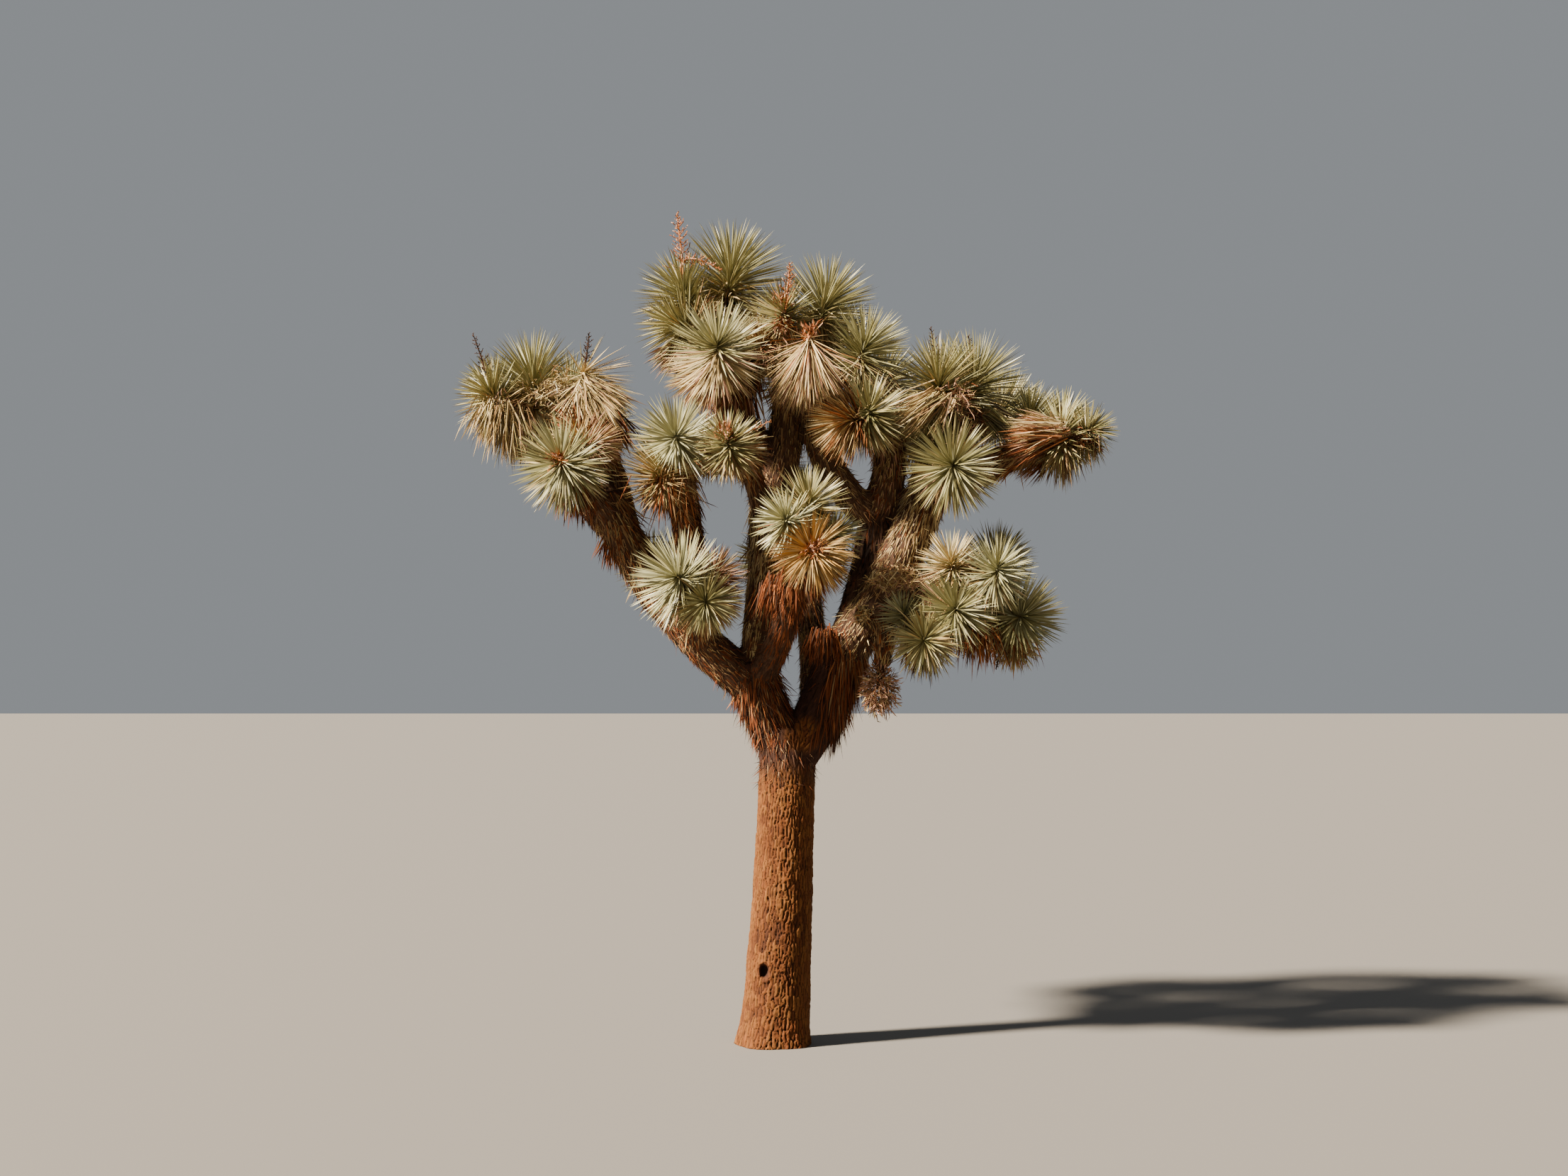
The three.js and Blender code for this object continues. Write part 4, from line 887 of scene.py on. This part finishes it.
def add_rods(sheaf, starts, ends, thick, thin, tints, bend, sides=4, steps=3):
    """Closed tapering rods from starts to ends, bent aside by bend."""
    chord = ends - starts
    side = unit(np.cross(chord, (0.37, 0.61, 0.70)))
    other = unit(np.cross(side, chord))
    corners = [starts]
    for step in range(steps + 1):
        place = step / steps
        centre = starts + chord * place + bend * (4 * place * (1 - place))
        radius = lerp(thick, thin, place)[:, None]
        for number in range(sides):
            turn = 2 * math.pi * number / sides
            corners.append(centre + radius * (math.cos(turn) * side + math.sin(turn) * other))
    corners.append(ends)
    sheaf.add(np.stack(corners, axis=1), capped_faces(sides, steps), tints)


def capped_faces(sides, steps):
    """The triangles of a tube whose first corner closes its foot and whose last closes its tip."""
    faces = []
    last = 1 + sides * (steps + 1)
    for side in range(sides):
        following = (side + 1) % sides
        faces.append((0, 1 + following, 1 + side))
        for step in range(steps):
            low, high = 1 + step * sides, 1 + (step + 1) * sides
            faces.append((low + side, low + following, high + following))
            faces.append((low + side, high + following, high + side))
        faces.append((last, last - sides + side, last - sides + following))
    return np.array(faces)


def grow_stalk(sheaf, foot, through, tip, palette, branch_length, density=34, girth=1.0):
    """An old flower stalk: a rod that carries a spiral of short forked side branches."""
    path = Path([foot, through, tip])
    shares = np.linspace(0, 1, STALK_JOINTS + 1)
    points = path.at(shares)
    radii = lerp(*STALK_RADII, shares) * girth
    tints = dealt(palette, rng.random(STALK_JOINTS))
    overlapping = points[:-1] - (points[1:] - points[:-1]) * 0.05
    add_rods(sheaf, overlapping, points[1:], radii[:-1], radii[1:], tints, np.zeros((STALK_JOINTS, 3)),
             sides=6, steps=1)
    share = np.linspace(*BRANCH_SPAN, density)
    outward = path.outward(share, GOLDEN_ANGLE * np.arange(density))
    tangent = path.tangent(share)
    root = path.at(share)
    along = (share - BRANCH_SPAN[0]) / (BRANCH_SPAN[1] - BRANCH_SPAN[0])
    long = (branch_length * lerp(1.0, 0.22, along) * rng.uniform(0.6, 1.2, density))[:, None]
    aim = unit(outward + tangent * 0.45 + scatter(0.15, density))
    reach = aim * long
    curl = np.cross(aim, outward + UP) * 0.18 * long - tangent * 0.12 * long
    thick, thin = (np.full(density, radius * girth) for radius in BRANCH_RADII)
    add_rods(sheaf, root, root + reach, thick, thin, dealt(palette, rng.random(density)), curl)
    thick, thin = (np.full(density, radius * girth) for radius in BRANCH_TWIG_RADII)
    for place, turned in BRANCH_TWIGS:
        twig = root + reach * place + curl * (4 * place * (1 - place))
        way = unit(np.cross(aim, tangent) * turned + aim * 0.5 + UP * 0.4 + scatter(0.3, density))
        add_rods(sheaf, twig, twig + way * 0.42 * long, thick, thin, dealt(palette, rng.random(density)),
                 np.zeros((density, 3)), sides=3, steps=1)


def mesh_from(name, corners, faces, materials, tints=None):
    mesh = bpy.data.meshes.new(name)
    mesh.vertices.add(len(corners))
    mesh.vertices.foreach_set("co", np.asarray(corners, np.float32).ravel())
    mesh.loops.add(faces.size)
    mesh.loops.foreach_set("vertex_index", faces.astype(np.int32).ravel())
    mesh.polygons.add(len(faces))
    mesh.polygons.foreach_set("loop_start", np.arange(0, faces.size, faces.shape[1], dtype=np.int32))
    for material in materials:
        mesh.materials.append(material)
    if tints is not None:
        mesh.polygons.foreach_set("material_index", np.asarray(tints, np.int32))
    mesh.polygons.foreach_set("use_smooth", np.zeros(len(faces), bool))
    mesh.update(calc_edges=True)
    mesh.validate()
    made = bpy.data.objects.new(name, mesh)
    bpy.context.scene.collection.objects.link(made)
    return made


def piece(made, nodes):
    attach(made, "root")
    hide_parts(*nodes)


def new_material(name, roughness, specular):
    """A material and its shader."""
    material = bpy.data.materials.new(name)
    material.use_nodes = True
    shader = material.node_tree.nodes["Principled BSDF"]
    shader.inputs["Roughness"].default_value = roughness
    shader.inputs["Specular IOR Level"].default_value = specular
    return material, shader


def leaf_material(name, colour):
    looks = (0.45, 0.5) if name in GREEN_TINTS else (0.85, 0.12)
    material, shader = new_material("leaf_" + name, *looks)
    shader.inputs["Base Color"].default_value = (*colour, 1)
    return material


def add_node(shader, kind, inputs, **settings):
    """A node beside the shader. Its inputs are given values or linked to other nodes' outputs."""
    tree = shader.id_data
    node = tree.nodes.new("ShaderNode" + kind)
    for title, value in settings.items():
        setattr(node, title, value)
    for title, value in inputs.items():
        if isinstance(value, bpy.types.NodeSocket):
            tree.links.new(value, node.inputs[title])
        else:
            node.inputs[title].default_value = value
    return node


def add_ramp(shader, factor, stops):
    """Colours by a factor, through stops of a place and a colour."""
    ramp = add_node(shader, "ValToRGB", {"Fac": factor})
    elements = ramp.color_ramp.elements
    while len(elements) < len(stops):
        elements.new(0.5)
    for element, (place, colour) in zip(elements, stops):
        element.position = place
        element.color = (*colour, 1)
    return ramp.outputs["Color"]


def bark_material(name, plates, shaggy, crack, grain_scale):
    """Bark: plates in several browns, dark cracks where the mesh is low, and a fine rough grain."""
    material, shader = new_material(name, 0.92, 0.2)
    own, shag, low = (add_node(shader, "Attribute", {}, attribute_name=title).outputs["Fac"]
                      for title in ("plate", "shag", "crack"))
    place = add_node(shader, "TexCoord", {}).outputs["Object"]
    patches = add_node(shader, "TexNoise", {"Vector": place, "Scale": 2.2, "Detail": 5}).outputs["Fac"]
    patched = add_node(shader, "Math", {0: patches, 1: 0.9, 2: -0.28}, operation="MULTIPLY_ADD").outputs[0]
    kind = add_node(shader, "Math", {0: own, 1: 0.62, 2: patched}, operation="MULTIPLY_ADD").outputs[0]
    last = len(plates) - 1
    colour = add_ramp(shader, kind, [(number / last, plate) for number, plate in enumerate(plates)])
    colour = add_node(shader, "Mix", {"Factor": shag, "A": colour, "B": (*shaggy, 1)}, data_type="RGBA")
    along = add_node(shader, "Mapping", {"Vector": place, "Scale": (1, 1, GRAIN_STRETCH)}).outputs["Vector"]
    grain = add_node(shader, "TexNoise", {
        "Vector": along, "Scale": grain_scale, "Detail": 8, "Roughness": 0.7}).outputs["Fac"]
    colour = add_node(shader, "Mix", {
        "Factor": 0.75, "A": colour.outputs["Result"], "B": add_ramp(shader, grain, FLECKS)},
        data_type="RGBA", blend_type="MULTIPLY")
    colour = add_node(shader, "Mix", {
        "Factor": low, "A": colour.outputs["Result"], "B": (*crack, 1)}, data_type="RGBA")
    bump = add_node(shader, "Bump", {"Strength": 0.7, "Distance": 0.006, "Height": grain})
    links = material.node_tree.links
    links.new(colour.outputs["Result"], shader.inputs["Base Color"])
    links.new(bump.outputs["Normal"], shader.inputs["Normal"])
    return material


def tube(limb, sides, steps):
    """A closed round body along a limb's bark: its corners and its faces."""
    shares = np.linspace(0, 1, steps + 1)
    angles = np.arange(sides) * 2 * math.pi / sides
    grid_share, grid_angle = np.meshgrid(shares, angles, indexing="ij")
    outward = limb.path.outward(grid_share, grid_angle)
    rings = limb.path.at(grid_share) + outward * limb.bark_radius(grid_share, grid_angle)[..., None]
    tip = limb.path.at(1.0) + limb.path.tangent(1.0) * limb.bark_radius(1.0) * 0.45
    corners = np.vstack([limb.path.at(0.0)[None], rings.reshape(-1, 3), tip[None]])
    return corners, capped_faces(sides, steps)[:, [0, 2, 1]]


def fused_wood(name, limbs, material, voxel, smoothing, sides):
    """The limbs' tubes fused into one skin, with its creases eased."""
    corners, faces, count = [], [], 0
    for limb in limbs:
        one, its_faces = tube(limb, sides, max(6, round(limb.path.length / 0.05)))
        corners.append(one)
        faces.append(its_faces + count)
        count += len(one)
    made = mesh_from(name, np.vstack(corners), np.vstack(faces), [material])
    fuse = made.modifiers.new("fuse", "REMESH")
    fuse.mode = "VOXEL"
    fuse.voxel_size = voxel
    ease = made.modifiers.new("ease", "SMOOTH")
    ease.factor = 0.5
    ease.iterations = smoothing
    whole = bpy.context.evaluated_depsgraph_get()
    mesh = bpy.data.meshes.new_from_object(made.evaluated_get(whole))
    made.modifiers.clear()
    made.data = mesh
    mesh.materials.clear()
    mesh.materials.append(material)
    return made


def limb_coordinates(points, limbs):
    """For each point the limb it lies on, the share along it, and its direction from the limb's line."""
    best = np.full(len(points), 1e9)
    which = np.zeros(len(points), int)
    share = np.zeros(len(points))
    for number, limb in enumerate(limbs):
        shares = np.linspace(0, 1, 40)
        centres = limb.path.at(shares)
        apart = np.linalg.norm(points[:, None] - centres[None], axis=-1)
        nearest = apart.argmin(axis=1)
        gap = apart.min(axis=1) / limb.radius(shares[nearest])
        nearer = gap < best
        along = ((points - centres[nearest]) * limb.path.tangent(shares[nearest])).sum(-1)
        best = np.where(nearer, gap, best)
        which = np.where(nearer, number, which)
        share = np.where(nearer, np.clip(shares[nearest] + along / limb.path.length, 0, 1), share)
    outward = np.zeros_like(points)
    for number, limb in enumerate(limbs):
        here = which == number
        tangent = limb.path.tangent(share[here])
        apart = points[here] - limb.path.at(share[here])
        outward[here] = unit(apart - tangent * (apart * tangent).sum(-1, keepdims=True))
    return which, share, outward


def unrolled(number, limb, share, turn, outward, flat):
    """Where a point of the bark is for telling plates apart: squeezed along the limb, one limb a storey."""
    side, other = limb.path.across(share)
    out = outward * limb.bark_radius(share, turn)[:, None]
    height = share * limb.path.length / flat + STOREY * number
    return np.stack([height, (out * side).sum(-1), (out * other).sum(-1)], axis=-1)


def plate_seeds(limbs, across, along):
    """The middles of the plates in staggered rows, where the bark is unrolled, and a kind for each."""
    seeds, kinds = [], []
    for number, limb in enumerate(limbs):
        rows = max(3, round(limb.path.length / along))
        columns = max(4, round(2 * math.pi * limb.bark_radius(0.5) / across))
        row, column = np.meshgrid(np.arange(rows), np.arange(columns), indexing="ij")
        share = (row + 0.5 + rng.uniform(-0.42, 0.42, row.shape)) / rows
        turn = (column + 0.5 * (row % 2) + rng.uniform(-0.34, 0.34, row.shape)) * 2 * math.pi / columns
        share, turn = share.ravel(), turn.ravel()
        seeds.append(unrolled(number, limb, share, turn, limb.path.outward(share, turn), along / across))
        kinds.append(rng.random(len(share)))
    return np.vstack(seeds), np.concatenate(kinds)


def read(values, title, size):
    """A mesh's values as rows of that many numbers."""
    numbers = np.zeros(len(values) * size, np.float32)
    values.foreach_get(title, numbers)
    return numbers.reshape(-1, size)


def carve_bark(made, limbs, cell, depth, roughness, shag_heights):
    """Lifts plates of bark out of the skin, each cell a plate, and keeps how low and which it is.

    Between the two shag heights the plates give way to fibres that run along the limb."""
    mesh = made.data
    points = read(mesh.vertices, "co", 3).astype(float)
    normals = read(mesh.vertex_normals, "vector", 3).astype(float)
    which, share, outward = limb_coordinates(points, limbs)
    across, along = cell
    seeds, kinds = plate_seeds(limbs, across, along)
    tree = kdtree.KDTree(len(seeds))
    for number, seed in enumerate(seeds):
        tree.insert(seed, number)
    tree.balance()
    places = np.zeros_like(points)
    for number, limb in enumerate(limbs):
        here = which == number
        side = limb.path.across(share[here])
        turn = np.arctan2((outward[here] * side[1]).sum(-1), (outward[here] * side[0]).sum(-1))
        places[here] = unrolled(number, limb, share[here], turn, outward[here], along / across)
    places += 0.35 * across * np.array([noise.noise_vector(p * 22) for p in points])
    crack = np.zeros(len(points))
    plate = np.zeros(len(points))
    for number, place in enumerate(places):
        (_, first, near), (_, second, far) = tree.find_n(place, 2)
        apart = seeds[second] - seeds[first]
        crosswise = apart[0] ** 2 / max(apart @ apart, 1e-12)
        crack[number] = (far - near) / across + CROSS_CRACK_EASE * crosswise
        plate[number] = kinds[first]
    crack = 1 - smoothstep(*CRACK_WIDTHS, crack)
    rough = np.array([noise.fractal(p * 38, 1.0, 2.1, 4) for p in points])
    waves = np.array([noise.noise(p * 5) for p in points])
    lift = depth * (0.45 - crack + 0.45 * (plate - 0.5)) + roughness * (rough + 1.4 * waves)
    shag = smoothstep(*shag_heights, points[:, 2] + 0.07 * waves)
    from_patch = np.linalg.norm(points - np.array(BARE_PATCH_AT) * MM, axis=1) / (BARE_PATCH_REACH * MM)
    shag *= smoothstep(0.55, 1.2, from_patch)
    fibre = np.array([noise.fractal(p * FIBRE_SCALES, 0.8, 2.0, 3) for p in places])
    lift = lerp(lift, depth * 0.5 * fibre + roughness * waves, shag)
    crack = lerp(crack, smoothstep(0.1, -0.5, fibre) * 0.8, shag)
    plate = lerp(plate, 0.5 + 0.5 * fibre, shag)
    points += normals * lift[:, None]
    mesh.vertices.foreach_set("co", points.astype(np.float32).ravel())
    for title, values in (("crack", crack), ("plate", plate), ("shag", shag)):
        mesh.attributes.new(title, "FLOAT", "POINT").data.foreach_set("value", values.astype(np.float32))
    mesh.polygons.foreach_set("use_smooth", np.ones(len(mesh.polygons), bool))
    mesh.update()


def press_knot(made):
    """The hollow that a lost branch has left in the front of the trunk, darkened as painted shade."""
    mesh = made.data
    points = read(mesh.vertices, "co", 3)
    cracks = mesh.attributes["crack"].data
    crack = read(cracks, "value", 1).ravel()
    at, size = np.array(KNOT_AT) * MM, np.array(KNOT_SIZE) * MM
    from_middle = np.hypot((points[:, 0] - at[0]) / size[0], (points[:, 2] - at[2]) / size[2])
    front = points[:, 1] < 0
    hollow = front * smoothstep(1.0, 0.55, from_middle)
    rim = front * np.exp(-((from_middle - 1.25) / 0.25) ** 2)
    points[:, 1] += hollow * 0.04 - rim * 0.006
    mesh.vertices.foreach_set("co", points.ravel())
    # Painted shade: the hollow takes the cracks' dark colour.
    cracks.foreach_set("value", np.maximum(crack, hollow).astype(np.float32))
    mesh.update()


def cut_at_ground(made):
    """Cuts the trunk off flat at ground level and closes the cut."""
    mesh = bmesh.new()
    mesh.from_mesh(made.data)
    everything = mesh.verts[:] + mesh.edges[:] + mesh.faces[:]
    cut = bmesh.ops.bisect_plane(
        mesh, geom=everything, plane_co=(0, 0, 0), plane_no=(0, 0, -1), clear_outer=True)
    edges = [e for e in cut["geom_cut"] if isinstance(e, bmesh.types.BMEdge)]
    bmesh.ops.edgeloop_fill(mesh, edges=edges)
    bmesh.ops.triangulate(mesh, faces=mesh.faces[:])
    mesh.to_mesh(made.data)
    mesh.free()


def make_camera():
    data = bpy.data.cameras.new("camera")
    data.lens = LENS
    data.sensor_width = SENSOR_WIDTH
    data.clip_end = FAR_CLIP
    camera = bpy.data.objects.new("camera", data)
    camera.location = CAMERA_AT
    camera.rotation_euler = (CAMERA_TILT, 0, 0)
    bpy.context.scene.collection.objects.link(camera)
    bpy.context.scene.camera = camera


def make_studio():
    material, shader = new_material("floor", 0.9, 0.5)
    shader.inputs["Base Color"].default_value = (*FLOOR_COLOUR, 1)
    corners = np.array([(-1, -1, 0), (1, -1, 0), (1, 1, 0), (-1, 1, 0)], float) * FLOOR_HALF
    floor = mesh_from("floor", corners, np.array([[0, 1, 2, 3]]), [material])
    world = bpy.data.worlds.new("world")
    world.use_nodes = True
    sky = world.node_tree.nodes["Background"]
    sky.inputs["Color"].default_value = (*SKY_COLOUR, 1)
    sky.inputs["Strength"].default_value = SKY_STRENGTH
    bpy.context.scene.world = world
    sun = bpy.data.lights.new("key", "SUN")
    sun.energy = SUN_ENERGY
    sun.angle = SUN_ANGLE
    sun.color = SUN_COLOUR
    key = bpy.data.objects.new("key", sun)
    key.rotation_euler = SUN_TURN
    bpy.context.scene.collection.objects.link(key)


def make_wood(limbs, heads):
    """The bare trunk with its fork, and the wood of every other limb and twig."""
    own = [limbs[name] for name in TRUNK_NODES]
    material = bark_material("bark_trunk", **TRUNK_BARK)
    trunk = fused_wood("trunk_bark", own, material, voxel=0.0064, smoothing=16, sides=48)
    carve_bark(trunk, own, cell=(0.0195, 0.060), depth=0.011, roughness=0.003, shag_heights=SHAG_HEIGHTS)
    press_knot(trunk)
    cut_at_ground(trunk)
    piece(trunk, TRUNK_NODES)
    others = [limb for name, limb in limbs.items() if name not in TRUNK_NODES]
    stub = Limb("stub", Path([STUB_AT, STUB_END]), (STUB_RADIUS, STUB_RADIUS))
    every = others + [stub] + [head.twig for head in heads]
    material = bark_material("bark_limbs", **LIMB_BARK)
    wood = fused_wood("bough_bark", every, material, voxel=0.014, smoothing=4, sides=16)
    carve_bark(wood, every, cell=(0.035, 0.11), depth=0.007, roughness=0.004, shag_heights=(-0.2, -0.1))
    piece(wood, [limb.name for limb in others])


def bear_stalk(head, sheaf):
    """The flower stalk that a head bears."""
    foot = head.centre / MM
    tip = foot + head.extras["stalk"]
    through = (foot + tip) / 2 + STALK_BOW
    if head.extras.get("old"):
        grow_stalk(sheaf, foot, through, tip, "old_stalk", 0.05, 26, 0.8)
    else:
        grow_stalk(sheaf, foot, through, tip, "stalk", head.extras.get("branches", 0.06))


def grow_leaves(limbs, heads):
    """The live leaves and the dead ones of each region."""
    live, dry = {}, {}
    bark = np.vstack([line_pieces(limb, 12, limb.bark_radius) for limb in limbs.values()])
    twigs = [line_pieces(head.twig, 5, head.twig.radius) for head in heads]
    for number, head in enumerate(heads):
        sheaf = (dry if head.dead else live).setdefault(head.region, Sheaf())
        if head.palette == "clump":
            grow_matted(head, sheaf)
            continue
        grow_rosette(head, heads, np.vstack([bark, *twigs[:number], *twigs[number + 1:]]), sheaf)
        old = dry.setdefault(head.region, Sheaf())
        if "remains" in head.extras:
            grow_remains(head, old)
        thatch(old, head.twig, SKIRT_SPAN, SKIRT_LEAVES, SKIRT_LIFT, "skirt", SKIRT_LENGTH, SKIRT_WIDTH,
               SKIRT_HANG, LEAF_PROFILE)
        if "stalk" in head.extras:
            bear_stalk(head, old)
    for region, clumps in CLUMPS.items():
        for clump in clumps:
            grow_clump(*clump, dry[region])
    for region, beards in BEARDS.items():
        for beard in beards:
            grow_beard(dry[region], *beard)
    for region, *stalk in LOOSE_STALKS:
        grow_stalk(dry[region], *stalk)
    return live, dry


def region_of(name):
    return REGION_OF_LIMB.get(name, "centre")


def grow_coats(limbs):
    """The fur and the fringe of dead leaves on each limb, and the fork's shag."""
    coats = {}
    for name, limb in limbs.items():
        if name in TRUNK_NODES:
            continue
        sheaf = coats.setdefault(region_of(name), Sheaf())
        area = 2 * math.pi * limb.radius(0.5) * limb.path.length
        coat = COATS.get(name, "coat_brown")
        fur = int(FUR_PER_M2 * area)
        thatch(sheaf, limb, (0.03, 1.0), fur, FUR_LIFT, coat, FUR_LENGTH, FUR_WIDTH, FUR_HANG)
        fringe = int(FRINGE_PER_M2 * area * (1 - FRINGE_START))
        thatch(sheaf, limb, (FRINGE_START, 1.0), fringe, FRINGE_LIFT, coat, FRINGE_LENGTH, FRINGE_WIDTH,
               FRINGE_HANG, LEAF_PROFILE)
    fork = coats.setdefault("fork", Sheaf())
    for name, *coat in FORK_COATS:
        thatch(fork, limbs[name], *coat)
    return coats


def join_sheaves(title, sheaves, nodes_of, materials):
    for region, sheaf in sheaves.items():
        made = mesh_from(title + region, np.vstack(sheaf.corners), np.vstack(sheaf.faces), materials,
                         np.concatenate(sheaf.tints))
        piece(made, nodes_of(region))


def nodes_with_live(region):
    return [name for name, (its_region, _, rows) in MASSES.items()
            if its_region == region and any(row[3] not in DEAD_PALETTES for row in rows)]


def nodes_with_dead(region):
    return [name for name, (its_region, _, _) in MASSES.items() if its_region == region]


def nodes_with_coats(region):
    if region == "fork":
        return TRUNK_NODES
    return [name for name, *_ in BOUGHS if name not in TRUNK_NODES and region_of(name) == region]


make_camera()
make_studio()
limbs = grow_limbs()
heads = grow_heads(limbs)
make_wood(limbs, heads)
live, dry = grow_leaves(limbs, heads)
coats = grow_coats(limbs)
materials = [leaf_material(name, colour) for name, colour in TINTS.items()]
join_sheaves("leaves_", live, nodes_with_live, materials)
join_sheaves("dead_leaves_", dry, nodes_with_dead, materials)
join_sheaves("thatch_", coats, nodes_with_coats, materials)
